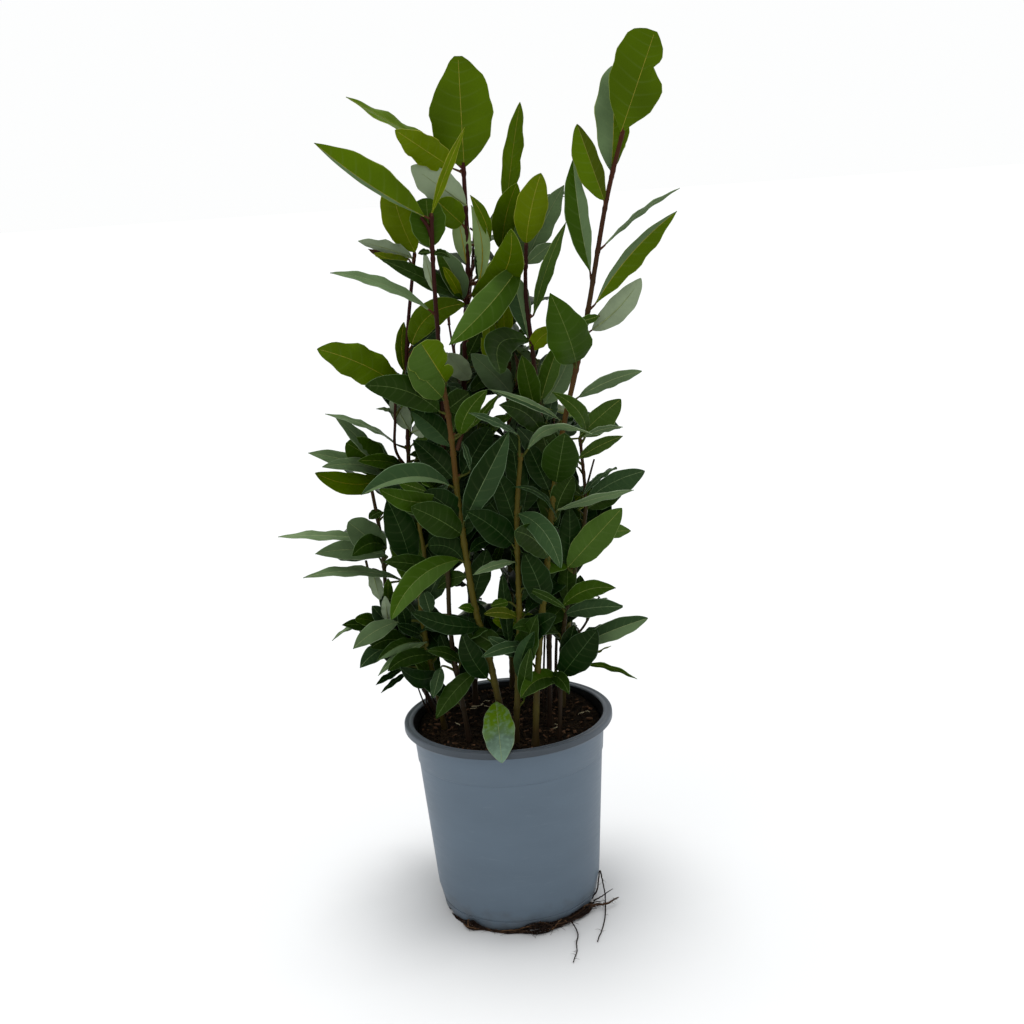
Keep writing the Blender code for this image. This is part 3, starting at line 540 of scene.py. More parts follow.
# A twig of the back of the crown: stem, height where it leaves it, and its end. It sags by a
# share of its length, and carries a leaf at every third ring from the seventh
TWIG_RINGS = 36
TWIG_FIRST_LEAF = 6
TWIG_LEAF_STEP = 3
TWIG_SAG = 0.10
TWIG_FOOT_RADIUS = 1.5 * MM
TWIG_TIP_RADIUS = 0.9 * MM
Twig = namedtuple("Twig", "stem height tip")
TWIGS = [
    Twig("stem_centre", .540, (.000, .085, .612)),
    Twig("stem_centre", .470, (-.030, .090, .540)),
    Twig("stem_left", .430, (-.070, .088, .510)),
    Twig("stem_right_centre", .400, (.066, .076, .470)),
    Twig("stem_back", .400, (-.012, .104, .440)),
    Twig("stem_back", .440, (.048, .100, .500)),
    Twig("stem_left", .320, (-.094, .100, .390)),
    Twig("stem_back_right", .340, (.098, .094, .392)),
    Twig("stem_back", .260, (.012, .108, .316)),
    Twig("stem_back", .300, (-.036, .106, .352)),
    Twig("stem_back_right", .230, (.094, .074, .262)),
    Twig("stem_left", .215, (-.082, .096, .256)),
    Twig("stem_far_left", .230, (-.110, .060, .276)),
    Twig("stem_right_centre", .300, (.100, .050, .350)),
]


def screen_colour(values):
    """A linear colour from screen values of 0 to 255."""
    shares = [v / 255 for v in values]
    return tuple(s / 12.92 if s <= 0.04045 else ((s + 0.055) / 1.055) ** 2.4 for s in shares)


def unit(v):
    return v / np.linalg.norm(v)


def linked_object(name, data):
    made = bpy.data.objects.new(name, data)
    bpy.context.scene.collection.objects.link(made)
    return made


# ---------------------------------------------------------------- camera

def camera_axes():
    forward = unit(CAMERA_TARGET - CAMERA_PLACE)
    right = unit(np.cross(forward, [0, 0, 1]))
    up = np.cross(right, forward)
    c, s = math.cos(CAMERA_ROLL), math.sin(CAMERA_ROLL)
    return c * right + s * up, -s * right + c * up, forward


CAMERA_RIGHT, CAMERA_UP, CAMERA_FORWARD = camera_axes()


def at_depth(pixel, y):
    """The point at depth y that shows at a pixel of the photograph."""
    half = PHOTO_SIZE / 2
    ray = (CAMERA_FORWARD + CAMERA_RIGHT * (pixel[0] - half) / FOCAL_PIXELS
           - CAMERA_UP * (pixel[1] - half) / FOCAL_PIXELS)
    return CAMERA_PLACE + ray * (y - CAMERA_PLACE[1]) / ray[1]


def at_height(pixel, z):
    """The point at height z that shows at a pixel of the photograph."""
    ray = at_depth(pixel, RAY_DEPTH) - CAMERA_PLACE
    return CAMERA_PLACE + ray * (z - CAMERA_PLACE[2]) / ray[2]


def pixels_of(points):
    """Pixels and distances of points, as seen by the camera."""
    away = np.asarray(points, float) - CAMERA_PLACE
    far = away @ CAMERA_FORWARD
    half = PHOTO_SIZE / 2
    return (half + FOCAL_PIXELS * (away @ CAMERA_RIGHT) / far,
            half - FOCAL_PIXELS * (away @ CAMERA_UP) / far, far)


def make_camera():
    data = bpy.data.cameras.new("camera")
    data.sensor_width = SENSOR_MM
    data.lens = SENSOR_MM * FOCAL_PIXELS / PHOTO_SIZE
    data.clip_start = CLIP_START
    camera = linked_object("camera", data)
    columns = [CAMERA_RIGHT, CAMERA_UP, -CAMERA_FORWARD]
    turn = Matrix([[float(column[row]) for column in columns] for row in range(3)])
    camera.matrix_world = Matrix.Translation(Vector(CAMERA_PLACE)) @ turn.to_4x4()
    bpy.context.scene.camera = camera


def add_lamp(name, kind, energy, direction, **settings):
    """A lamp that shines along a direction."""
    data = bpy.data.lights.new(name, kind)
    data.energy = energy
    for key, value in settings.items():
        setattr(data, key, value)
    lamp = linked_object(name, data)
    lamp.rotation_euler = direction.to_track_quat("-Z", "Y").to_euler()
    return lamp


def make_light():
    """A bright, even dome, a soft overhead light and a weak lamp at the front left."""
    scene = bpy.context.scene
    scene.view_settings.view_transform = "Standard"
    world = bpy.data.worlds.new("studio")
    world.use_nodes = True
    background = world.node_tree.nodes["Background"]
    background.inputs["Color"].default_value = DOME_COLOUR
    background.inputs["Strength"].default_value = DOME_STRENGTH
    scene.world = world
    add_lamp("overhead", "SUN", OVERHEAD_STRENGTH, Vector(OVERHEAD_DIRECTION),
             angle=math.radians(OVERHEAD_ANGLE))
    key = add_lamp("key", "AREA", KEY_WATTS, Vector(KEY_TARGET) - Vector(KEY_PLACE), size=KEY_SIZE)
    key.location = KEY_PLACE


def make_floor():
    mesh = bpy.data.meshes.new("floor")
    reach = FLOOR_REACH
    mesh.from_pydata([(-reach, -reach, 0), (reach, -reach, 0), (reach, reach, 0),
                      (-reach, reach, 0)], [], [(0, 1, 2, 3)])
    floor = linked_object("floor", mesh)
    made, _, shader = new_material("floor", FLOOR_COLOUR, FLOOR_ROUGHNESS)
    shader.inputs["Specular IOR Level"].default_value = 0
    mesh.materials.append(made)


# ---------------------------------------------------------------- materials

def new_material(name, colour, roughness):
    made = bpy.data.materials.new(name)
    made.use_nodes = True
    tree = made.node_tree
    shader = tree.nodes["Principled BSDF"]
    shader.inputs["Base Color"].default_value = (*colour, 1)
    shader.inputs["Roughness"].default_value = roughness
    return made, tree, shader


def feed(tree, socket, value):
    """Gives a socket a value, or links it to another node's output."""
    if isinstance(value, bpy.types.NodeSocket):
        tree.links.new(value, socket)
    else:
        socket.default_value = value


def add_node(tree, kind, **values):
    """A node with its inputs fed by name, or by number after in_, and its set_ settings made."""
    node = tree.nodes.new(kind)
    for key, value in values.items():
        if key.startswith("set_"):
            setattr(node, key[4:], value)
        else:
            feed(tree, node.inputs[int(key[3:])] if key.startswith("in_") else node.inputs[key],
                 value)
    return node


def maths(tree, operation, a, b=0.0):
    return add_node(tree, "ShaderNodeMath", set_operation=operation, in_0=a, in_1=b).outputs[0]


def object_place(tree):
    return add_node(tree, "ShaderNodeTexCoord").outputs["Object"]


def leaf_place(tree):
    """The place on a leaf: 0 to 1 from its left to its right, and 0 to 1 from foot to tip."""
    return add_node(tree, "ShaderNodeUVMap", set_uv_map="leaf").outputs[0]


def split(tree, place):
    return add_node(tree, "ShaderNodeSeparateXYZ", Vector=place).outputs


def noise_value(tree, scale, detail=3, stretch=(1, 1, 1)):
    moved = add_node(tree, "ShaderNodeMapping", Vector=object_place(tree), Scale=stretch)
    return add_node(tree, "ShaderNodeTexNoise", Vector=moved.outputs[0], Scale=scale,
                    Detail=detail).outputs["Fac"]


def ramp(tree, value, stops):
    """A colour ramp from (position, linear colour) stops."""
    node = add_node(tree, "ShaderNodeValToRGB", Fac=value)
    elements = node.color_ramp.elements
    while len(elements) < len(stops):
        elements.new(0.5)
    for element, (position, colour) in zip(elements, stops):
        element.position = position
        element.color = (*colour, 1)
    return node.outputs["Color"]


def mix_colours(tree, share, a, b):
    node = add_node(tree, "ShaderNodeMix", set_data_type="RGBA")
    for socket, value in zip((node.inputs[0], node.inputs[6], node.inputs[7]), (share, a, b)):
        feed(tree, socket, (*value, 1) if isinstance(value, tuple) else value)
    return node.outputs[2]


def shade(colour, share):
    return tuple(c * share for c in colour)


def uneven_colour(tree, value, colour, dark, bright):
    """The colour times dark where the value is low, and times bright where it is high."""
    return ramp(tree, value, [(0.3, shade(colour, dark)), (0.7, shade(colour, bright))])


def grey(share):
    return (share, share, share)


def bump(tree, shader, height, strength, distance):
    node = add_node(tree, "ShaderNodeBump", Height=height, Strength=strength, Distance=distance)
    tree.links.new(node.outputs[0], shader.inputs["Normal"])


def vein_share(tree):
    """1 on a leaf's side veins and 0 between them, less towards the margin."""
    across, along, _ = split(tree, leaf_place(tree))
    from_rib = maths(tree, "ABSOLUTE", maths(tree, "SUBTRACT", across, 0.5))
    turns = maths(tree, "MULTIPLY", along, LEAF_ROWS / 2)
    near = maths(tree, "ABSOLUTE", maths(tree, "SUBTRACT", maths(tree, "FRACT", turns), 0.5))
    line = maths(tree, "POWER", maths(tree, "MULTIPLY", near, 2.0), VEIN_SHARPNESS)
    fade = maths(tree, "SUBTRACT", 1.0, maths(tree, "MULTIPLY", from_rib, VEIN_FADE))
    return maths(tree, "MULTIPLY", line, fade)


def leaf_material(name, colour, vein_mix, roughness):
    """A leathery leaf surface: uneven green, paler side veins and a fine grain."""
    made, tree, shader = new_material(name, colour, roughness)
    broad = noise_value(tree, scale=17, detail=2)
    base = uneven_colour(tree, broad, colour, dark=0.74, bright=1.22)
    pale = tuple((1 - VEIN_PALENESS) * c + VEIN_PALENESS * p
                 for c, p in zip(colour, screen_colour(VEIN_COLOUR)))
    share = maths(tree, "MULTIPLY", vein_share(tree), vein_mix)
    veined = mix_colours(tree, share, base, pale)
    fine = noise_value(tree, GRAIN_SCALE)
    spots = maths(tree, "MULTIPLY", fine, 0.22)
    spotted = mix_colours(tree, spots, veined, shade(colour, 0.6))
    tree.links.new(spotted, shader.inputs["Base Color"])
    gloss_range = 0.16
    gloss = maths(tree, "MULTIPLY", noise_value(tree, scale=60), gloss_range)
    gloss = maths(tree, "ADD", gloss, roughness - gloss_range / 2)
    tree.links.new(gloss, shader.inputs["Roughness"])
    shader.inputs["Specular IOR Level"].default_value = LEAF_SPECULAR
    shader.inputs["Specular Tint"].default_value = LEAF_SPECULAR_TINT
    bump(tree, shader, fine, strength=0.25, distance=GRAIN_DEPTH)
    return made


def fading_leaf_material():
    """The leaf that hangs over the rim: yellow-green at its foot, glaucous at its tip."""
    young, glaucous = (screen_colour(c) for c in FADING)
    made, tree, shader = new_material("leaf_fading_upper", young, roughness=0.42)
    along = split(tree, leaf_place(tree))[1]
    uneven = maths(tree, "ADD", along, maths(tree, "MULTIPLY", noise_value(tree, scale=90), 0.3))
    base = ramp(tree, uneven, [(0.52, young), (0.72, shade(glaucous, 0.62)), (1.0, glaucous)])
    bloom = ramp(tree, noise_value(tree, scale=260, detail=4), [(0.45, grey(0)), (0.65, grey(0.45))])
    mottled = mix_colours(tree, bloom, base, shade(glaucous, 1.25))
    tree.links.new(mottled, shader.inputs["Base Color"])
    shader.inputs["Specular IOR Level"].default_value = LEAF_SPECULAR
    bump(tree, shader, noise_value(tree, GRAIN_SCALE), strength=0.25, distance=GRAIN_DEPTH)
    return made


def leaf_looks():
    """Every leaf material, by name."""
    looks = {}
    for tint, (upper, lower, margin, _) in TINTS.items():
        looks[f"{tint}_margin"] = mottled_material(f"leaf_{tint}_margin", margin, roughness=0.5,
                                                   scale=160, spread=0.25)
        looks[f"{tint}_upper"] = leaf_material(f"leaf_{tint}_upper", screen_colour(upper),
                                               vein_mix=0.14, roughness=0.38)
        looks[f"{tint}_lower"] = leaf_material(f"leaf_{tint}_lower", screen_colour(lower),
                                               vein_mix=0.22, roughness=0.60)
    looks["fading_upper"] = fading_leaf_material()
    looks["fading_lower"] = looks["sage_lower"]
    looks["fading_margin"] = looks["sage_margin"]
    return looks


def mottled_material(name, screen, roughness, scale, spread, specular=0.3):
    """A plain-coloured surface with a soft unevenness of colour and a matching grain."""
    colour = screen_colour(screen)
    made, tree, shader = new_material(name, colour, roughness)
    value = noise_value(tree, scale, detail=4)
    base = uneven_colour(tree, value, colour, dark=1 - spread, bright=1 + spread)
    tree.links.new(base, shader.inputs["Base Color"])
    shader.inputs["Specular IOR Level"].default_value = specular
    bump(tree, shader, value, strength=0.3, distance=0.0003)
    return made


# Screen colours of the bark by height in metres, and the stop whose colour, darkened, the
# streaks take. The dark first stop, just above the soil, is painted shade
BARK_RAMPS = {
    "bark_olive": [(0.18, (40, 34, 14)), (0.26, (74, 72, 16)), (0.41, (72, 66, 16)),
                   (0.45, (80, 56, 20)), (0.50, (68, 44, 18)), (0.57, (46, 30, 14)),
                   (0.62, (44, 16, 8)), (0.70, (62, 22, 8))],
    "bark_brown": [(0.18, (32, 24, 14)), (0.34, (52, 46, 18)), (0.44, (54, 30, 14)),
                   (0.52, (44, 15, 9)), (0.66, (50, 14, 9))],
}
BARK_STREAK_STOP = 3
# How far blotches and streaks shift those heights, in metres
BLOTCH_SHIFT = 0.12
STREAK_SHIFT = 0.06


def bark_material(name):
    """Bark that turns dark red-brown up the stem, streaked along its length, with painted shade
    darkening it just above the soil.
    """
    stops = [(height, screen_colour(screen)) for height, screen in BARK_RAMPS[name]]
    brown = stops[BARK_STREAK_STOP][1]
    made, tree, shader = new_material(name, brown, roughness=0.5)
    height = split(tree, object_place(tree))[2]
    streak = noise_value(tree, scale=260, detail=4, stretch=(1, 1, 0.12))
    blotch = noise_value(tree, scale=45)
    uneven = maths(tree, "ADD", maths(tree, "MULTIPLY", blotch, BLOTCH_SHIFT),
                   maths(tree, "MULTIPLY", streak, STREAK_SHIFT))
    mean_shift = (BLOTCH_SHIFT + STREAK_SHIFT) / 2
    level = maths(tree, "ADD", height, maths(tree, "SUBTRACT", uneven, mean_shift))
    base = ramp(tree, level, stops)
    streaked = mix_colours(tree, maths(tree, "MULTIPLY", streak, 0.5), base, shade(brown, 0.55))
    tree.links.new(streaked, shader.inputs["Base Color"])
    shader.inputs["Specular IOR Level"].default_value = 0.1
    bump(tree, shader, streak, strength=0.5, distance=0.0004)
    return made


# Screen colours of the pot's plastic and of the scuffs on it
POT_COLOURS = {
    "body": ((88, 102, 115), (104, 117, 128)),
    "rim": ((78, 86, 94), (112, 118, 122)),
    "inside": ((9, 9, 10), (20, 20, 20)),
}
POT_DIRT = (70, 66, 60)


def pot_material(part):
    """Moulded plastic, cloudy, scuffed and soiled at the foot, with painted shade on the rim's
    front.
    """
    body, pale = (screen_colour(c) for c in POT_COLOURS[part])
    made, tree, shader = new_material(f"pot_{part}", body, roughness=0.42)
    cloud = noise_value(tree, scale=9, detail=4, stretch=(1, 1, 2.5))
    base = uneven_colour(tree, cloud, body, dark=0.93, bright=1.07)
    scuff = noise_value(tree, scale=60, detail=6, stretch=(1, 1, 9))
    scuff_share = ramp(tree, scuff, [(0.60, grey(0)), (0.75, grey(0.3))])
    scuffed = mix_colours(tree, scuff_share, base, pale)
    place = object_place(tree)
    height = split(tree, place)[2]
    dirt_height = maths(tree, "MULTIPLY", noise_value(tree, scale=70, detail=5), 0.05)
    low = maths(tree, "SUBTRACT", dirt_height, height)
    dirt_share = ramp(tree, maths(tree, "MULTIPLY", low, 30.0), [(0.1, grey(0)), (0.9, grey(0.5))])
    colour = mix_colours(tree, dirt_share, scuffed, screen_colour(POT_DIRT))
    if part == "rim":
        # Painted shade: the rim darkens towards the front, where the crown's shadow falls on it.
        toward_front = maths(tree, "MULTIPLY", split(tree, place)[1], -9.0)
        uneven = maths(tree, "MULTIPLY", noise_value(tree, scale=30), 0.3)
        painted_shade_share = ramp(tree, maths(tree, "ADD", toward_front, uneven),
                           [(0.55, grey(0)), (0.95, grey(0.75))])
        colour = mix_colours(tree, painted_shade_share, colour, shade(body, 0.45))
    tree.links.new(colour, shader.inputs["Base Color"])
    gloss = maths(tree, "ADD", maths(tree, "MULTIPLY", scuff, 0.25), 0.32)
    tree.links.new(gloss, shader.inputs["Roughness"])
    shader.inputs["Specular IOR Level"].default_value = 0.2
    bump(tree, shader, noise_value(tree, scale=700, detail=2), strength=0.12, distance=0.0002)
    return made


# ---------------------------------------------------------------- joined meshes

class Pile:
    """Meshes of one kind, gathered as arrays and made into one object."""

    def __init__(self, name, looks):
        self.name = name
        self.looks = looks
        self.used = []
        self.points = []
        self.places = []
        self.faces = []
        self.slots = []
        self.count = 0

    def slot_of(self, look):
        if look not in self.used:
            self.used.append(look)
        return self.used.index(look)

    def add(self, points, faces, face_looks, places=None):
        """Points, faces that index them, a look for each face, and each point's leaf place."""
        self.points.append(points)
        self.places.append(np.zeros((len(points), 2)) if places is None else places)
        self.faces += [tuple(i + self.count for i in face) for face in faces]
        self.slots += [self.slot_of(look) for look in face_looks]
        self.count += len(points)

    def make(self, sharp_degrees, body="root"):
        mesh = bpy.data.meshes.new(self.name)
        mesh.from_pydata(np.concatenate(self.points).tolist(), [], self.faces)
        mesh.polygons.foreach_set("material_index", self.slots)
        corners = np.zeros(len(mesh.loops), int)
        mesh.loops.foreach_get("vertex_index", corners)
        layer = mesh.uv_layers.new(name="leaf")
        layer.data.foreach_set("uv", np.concatenate(self.places)[corners].ravel())
        for look in self.used:
            mesh.materials.append(self.looks[look])
        mesh.shade_smooth()
        mesh.set_sharp_from_angle(angle=math.radians(sharp_degrees))
        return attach(linked_object(self.name, mesh), body)


def grid_faces(rows, columns, around=False):
    """Quads of a grid of points, with the last column joined to the first if it runs around."""
    faces = []
    for i in range(rows - 1):
        for j in range(columns if around else columns - 1):
            k = (j + 1) % columns
            faces.append((i * columns + j, i * columns + k,
                          (i + 1) * columns + k, (i + 1) * columns + j))
    return faces


# A direction that no tube starts along
TUBE_START = [0.31, 0.83, 0.46]


def tube(path, radii, sides, wobble=None):
    """Points and faces of a closed tube. wobble scales the radius by ring and side."""
    path = np.asarray(path, float)
    along = np.gradient(path, axis=0)
    along /= np.linalg.norm(along, axis=1)[:, None]
    points = []
    side = unit(np.cross(along[0], TUBE_START))
    for i, (place, direction) in enumerate(zip(path, along)):
        side = unit(side - direction * (side @ direction))
        other = np.cross(direction, side)
        angles = np.arange(sides) * math.tau / sides
        reach = radii[i] * (1 if wobble is None else wobble[i])
        ring = (np.cos(angles)[:, None] * side + np.sin(angles)[:, None] * other)
        points.append(place + ring * np.reshape(reach, (-1, 1)))
    count = len(path)
    faces = grid_faces(count, sides, around=True)
    faces.append(tuple(range(sides))[::-1])
    faces.append(tuple((count - 1) * sides + j for j in range(sides)))
    return np.concatenate(points), faces


def add_tube(pile, path, radii, sides, look):
    points, faces = tube(path, radii, sides)
    pile.add(points, faces, [look] * len(faces))


def smooth_path(points, count):
    """Evenly counted points on a curve through the given ones, as in the part."""
    points = [np.array(p, float) for p in points]
    ends = [2 * points[0] - points[1], *points, 2 * points[-1] - points[-2]]
    path = []
    for i in range(count):
        along = i / (count - 1) * (len(points) - 1)
        k = min(int(along), len(points) - 2)
        t = along - k
        a, b, c, d = ends[k:k + 4]
        path.append(0.5 * (2 * b + (c - a) * t + (2 * a - 5 * b + 4 * c - d) * t ** 2
                           + (3 * b - a - 3 * c + d) * t ** 3))
    return np.array(path)


# ---------------------------------------------------------------- leaves

def leaf_faces():
    """Faces of one leaf, as (left top, right top, top margin, bottom, edge) lists."""
    columns = 2 * LEAF_COLUMNS + 1
    rows = LEAF_ROWS + 1
    size = rows * columns
    left, right, margin, bottom = [], [], [], []
    for k, (a, b, c, d) in enumerate(grid_faces(rows, columns)):
        column = k % (columns - 1)
        halves = ((a, b, c), (a, c, d)) if column >= LEAF_COLUMNS else ((a, b, d), (b, c, d))
        bottom += [tuple(i + size for i in half[::-1]) for half in halves]
        if column in (0, columns - 2):
            margin.extend(halves)
        else:
            (right if column >= LEAF_COLUMNS else left).extend(halves)
    ring = ([j for j in range(columns)] + [i * columns + columns - 1 for i in range(1, rows)]
            + [(rows - 1) * columns + j for j in range(columns - 2, -1, -1)]
            + [i * columns for i in range(rows - 2, 0, -1)])
    edge = [(ring[k], ring[k - 1], ring[k - 1] + size, ring[k] + size) for k in range(len(ring))]
    return left, right, margin, bottom, edge


LEAF_FACES = leaf_faces()


class Blade:
    """The shape of one leaf blade, from its foot to its tip."""

    def __init__(self, foot, tip, facing, width, turn, arch, shape, fold, wave, lean, rng,
                 bow=None):
        self.foot = foot
        self.reach = tip - foot
        self.length = np.linalg.norm(self.reach)
        self.axis = self.reach / self.length
        self.up = unit(facing - self.axis * (facing @ self.axis))
        self.across = np.cross(self.axis, self.up)
        upward = self.across @ np.array([0.35, 0, 1])
        self.bulge = self.across * (1 if upward > 0 else -1) * arch * self.length
        self.bow = (rng.uniform(*BOWS) if bow is None else bow) * self.length
        self.width = width
        self.turn = math.radians(turn)
        self.twist = math.radians(rng.uniform(*TWISTS))
        self.shape = shape
        self.lean = lean
        self.fold = math.radians(fold)
        self.wave = wave
        self.waves = rng.uniform(*WAVES)
        self.phases = rng.uniform(0, math.tau, 3)
        self.droop = rng.uniform(*DROOPS) * self.length

    def centre(self, t):
        t = np.asarray(t, float)[..., None]
        hump = 4 * t * (1 - t)
        return (self.foot + self.reach * t + self.bulge * hump + self.up * self.bow * hump)

    def frame(self, t):
        """Directions across the blade and out of its upper side, at shares t of its length."""
        t = np.asarray(t, float)
        step = 0.01
        along = self.centre(t + step) - self.centre(t - step)
        along /= np.linalg.norm(along, axis=-1)[..., None]
        angle = self.turn + self.twist * (t - 0.5)
        out = (np.cos(angle)[..., None] * self.up + np.sin(angle)[..., None] * self.across)
        out -= along * np.sum(out * along, axis=-1)[..., None]
        out /= np.linalg.norm(out, axis=-1)[..., None]
        return np.cross(along, out), out

    def half_width(self, t, s):
        """The blade's reach to the side that s is on, at shares t of its length."""
        t = np.clip(t, 0, 1)
        if self.shape in DRAWN_OUTLINES:
            left, right = (np.interp(t, *zip(*half)) for half in DRAWN_OUTLINES[self.shape])
            share = np.where(s < 0, left, right)
        else:
            near, far = OUTLINES[self.shape]
            peak = near / (near + far)
            full = peak ** near * (1 - peak) ** far
            share = t ** near * (1 - t) ** far / full
        least = np.where(t < 0.5, LEAST_FOOT_HALF, LEAST_TIP_HALF)
        return np.maximum(self.width / 2 * share * (1 + np.sign(s) * self.lean), least)

    def surface(self):
        """Grid points on the middle surface, directions out of it, and leaf places."""
        index = np.arange(LEAF_ROWS + 1) / LEAF_ROWS
        tau = 0.5 * index + 0.25 * (1 - np.cos(math.pi * index))
        inner = np.linspace(-1, 1, 2 * LEAF_COLUMNS + 1)
        wide = max(self.width / 2, 0.001)
        edge = 1 - MARGIN_WIDTH / wide
        inner = np.sign(inner) * np.minimum(np.abs(inner) * LEAF_COLUMNS / (LEAF_COLUMNS - 1), 1)
        inner *= edge
        inner[0], inner[-1] = -1, 1
        s = np.broadcast_to(inner, (len(tau), len(inner)))
        t = tau[:, None] + VEIN_SWEEP * np.sin(math.pi * tau)[:, None] * np.abs(s) ** SWEEP_POWER
        t = np.clip(t, 0, 1)
        across, out = self.frame(t)
        ripple = np.where(s < 0, self.phases[0], self.phases[1])
        outline = 1 + (RIPPLE_SHARE * self.wave * np.sin(math.tau * self.waves * t + ripple)
                       * s ** 2)
        reach = self.half_width(t, s) * np.abs(s) * outline
        fold = self.fold * (1 - FOLD_LOSS * t)
        lift = reach * np.sin(fold)
        lift -= HALF_CURL * reach * s ** 2 * np.sin(math.pi * t)
        lift += (RIPPLE_RISE * self.wave
                 * np.sin(math.tau * self.waves * t + ripple + RIPPLE_LAG)
                 * s ** 2 * np.sin(math.pi * t))
        between = np.cos(math.pi * LEAF_ROWS * np.broadcast_to(index[:, None], s.shape))
        lift -= QUILT * between * 4 * np.abs(s) * (1 - np.abs(s))
        side = np.sign(s) * reach * np.cos(fold)
        points = (self.centre(t) + across * side[..., None] + out * lift[..., None]
                  - self.up * (self.droop * t ** 3)[..., None])
        places = np.stack([0.5 + 0.5 * s, np.broadcast_to(index[:, None], s.shape)], axis=-1)
        return points, out, places

    def add_to(self, pile, tint):
        points, out, places = self.surface()
        half = out.reshape(-1, 3) * LEAF_THICKNESS / 2
        flat = points.reshape(-1, 3)
        both = np.concatenate([flat + half, flat - half])
        uv = np.tile(places.reshape(-1, 2), (2, 1))
        left, right, margin, bottom, edge = LEAF_FACES
        # Two tints on one blade are painted reflection: each half coloured as it catches the light
        # at its own angle.
        left_tint, right_tint = (tint.split("|") * 2)[:2]
        looks = ([f"{left_tint}_upper"] * len(left) + [f"{right_tint}_upper"] * len(right)
                 + [f"{right_tint}_margin"] * len(margin)
                 + [f"{right_tint}_lower"] * len(bottom) + [f"{right_tint}_margin"] * len(edge))
        pile.add(both, left + right + margin + bottom + edge, looks, uv)
        return points

    def rib_path(self):
        """Centres and radii of the midrib, which stands a little proud of the upper side."""
        t = np.linspace(0, RIB_END, RIB_RINGS)
        radii = RIB_FOOT_RADIUS + (RIB_TIP_RADIUS - RIB_FOOT_RADIUS) * t ** RIB_TAPER
        radii = np.minimum(radii, self.width * RIB_WIDTH_SHARE + 0.0001)
        _, out = self.frame(t)
        sink = radii - LEAF_THICKNESS / 2 - RIB_RISE
        drop = self.up * (self.droop * t ** 3)[:, None]
        return self.centre(t) - drop - out * sink[:, None], radii


def stalk_path(limb, foot, axis):
    """The petiole's centres and radii, from inside the stem up to the leaf, and its start."""
    near = int(np.argmin(np.linalg.norm(limb - foot, axis=1)))
    start = limb[max(near - STALK_START, 0)]
    gap = foot - start
    length = np.linalg.norm(gap)
    out = gap - np.array([0, 0, gap[2]])
    leave = unit(unit(out + 1e-6) * STALK_OUT + np.array([0, 0, STALK_UP]))
    t = np.linspace(0, 1, STALK_RINGS)[:, None]
    pull = length * STALK_PULL
    path = ((2 * t ** 3 - 3 * t ** 2 + 1) * start + (t ** 3 - 2 * t ** 2 + t) * leave * pull
            + (3 * t ** 2 - 2 * t ** 3) * foot + (t ** 3 - t ** 2) * axis * pull)
    radii = STALK_RADIUS + (RIB_FOOT_RADIUS - STALK_RADIUS) * t[:, 0] ** STALK_TAPER
    return path[:-1], radii[:-1], start


def add_rib(pile, stalk, stalk_radii, rib, rib_radii, tint):
    """The petiole and the midrib of a leaf, as one tube."""
    path = np.concatenate([stalk, rib])
    points, faces = tube(path, np.concatenate([stalk_radii, rib_radii]), RIB_SIDES)
    high = stalk[0][2] > PETIOLE_CHANGE_HEIGHT
    stalk_look = "petiole_high" if high else "petiole_low"
    rib_look = f"{tint.split('|')[-1]}_rib"
    looks = [stalk_look if i < len(stalk) else rib_look
             for i in range(len(path) - 1) for _ in range(RIB_SIDES)]
    pile.add(points, faces, looks + [stalk_look, rib_look])


def add_bud(pile, place, direction, size):
    """A small pointed bud in the angle between a petiole and its stem."""
    steps = np.linspace(0, 1, BUD_RINGS)
    path = place + np.outer(steps, direction) * size
    swell = np.sqrt(np.maximum(np.sin(math.pi * (0.12 + 0.86 * steps)), 0.02))
    add_tube(pile, path, size * BUD_FULLNESS * swell, RIB_SIDES, "petiole_high")


class Cover:
    """What the placed leaves hide, as the nearest distance in small cells of the photograph."""

    CELL = 3
    CLEARANCE = 2 * MM
    SHOWN_SHARE = 0.02

    def __init__(self):
        size = PHOTO_SIZE // self.CELL + 1
        self.near = np.full((size, size), np.inf)
        v, u = np.mgrid[0:size, 0:size] * self.CELL + self.CELL / 2
        self.heart = np.zeros((size, size), bool)
        for (u0, v0), (u1, v1) in zip(HEART, HEART[1:] + HEART[:1]):
            beside = (v0 > v) != (v1 > v)
            self.heart ^= beside & (u < u0 + (u1 - u0) * (v - v0) / ((v1 - v0) or 1))
        for centre_u, centre_v, half_u, half_v in WINDOWS:
            self.heart &= ((u - centre_u) / half_u) ** 2 + ((v - centre_v) / half_v) ** 2 > 1

    def cells(self, points):
        u, v, far = pixels_of(points.reshape(-1, 3))
        last = self.near.shape[0] - 1
        return (np.clip(v / self.CELL, 0, last).astype(int),
                np.clip(u / self.CELL, 0, last).astype(int), far)

    def mark(self, grid):
        """Marks a leaf, with points halfway between those of its grid."""
        rows = np.concatenate([grid, (grid[1:] + grid[:-1]) / 2])
        fine = np.concatenate([rows, (rows[:, 1:] + rows[:, :-1]) / 2], axis=1)
        v, u, far = self.cells(fine)
        np.minimum.at(self.near, (v, u), far)

    def hides(self, grid):
        """True if nearly all of a leaf lies behind placed leaves or in the dense heart."""
        v, u, far = self.cells(grid)
        behind = far > self.near[v, u] + self.CLEARANCE
        unmarked_heart = self.heart[v, u] & np.isinf(self.near[v, u])
        return np.mean(behind | unmarked_heart) > 1 - self.SHOWN_SHARE


def inside_box(grid):
    """Whether a leaf stays within the CAD box, but for the spare that leaves may take."""
    points = np.asarray(grid).reshape(-1, 3)
    low, high = (np.array(corner) for corner in cad_box)
    return bool(np.all(points > low - BOX_SPARE) and np.all(points < high + BOX_SPARE))


def pick(rng, weights):
    """One of the names, each as likely as its weight says."""
    names = list(weights)
    chances = np.array([weights[n] for n in names], float)
    return names[int(rng.choice(len(names), p=chances / chances.sum()))]


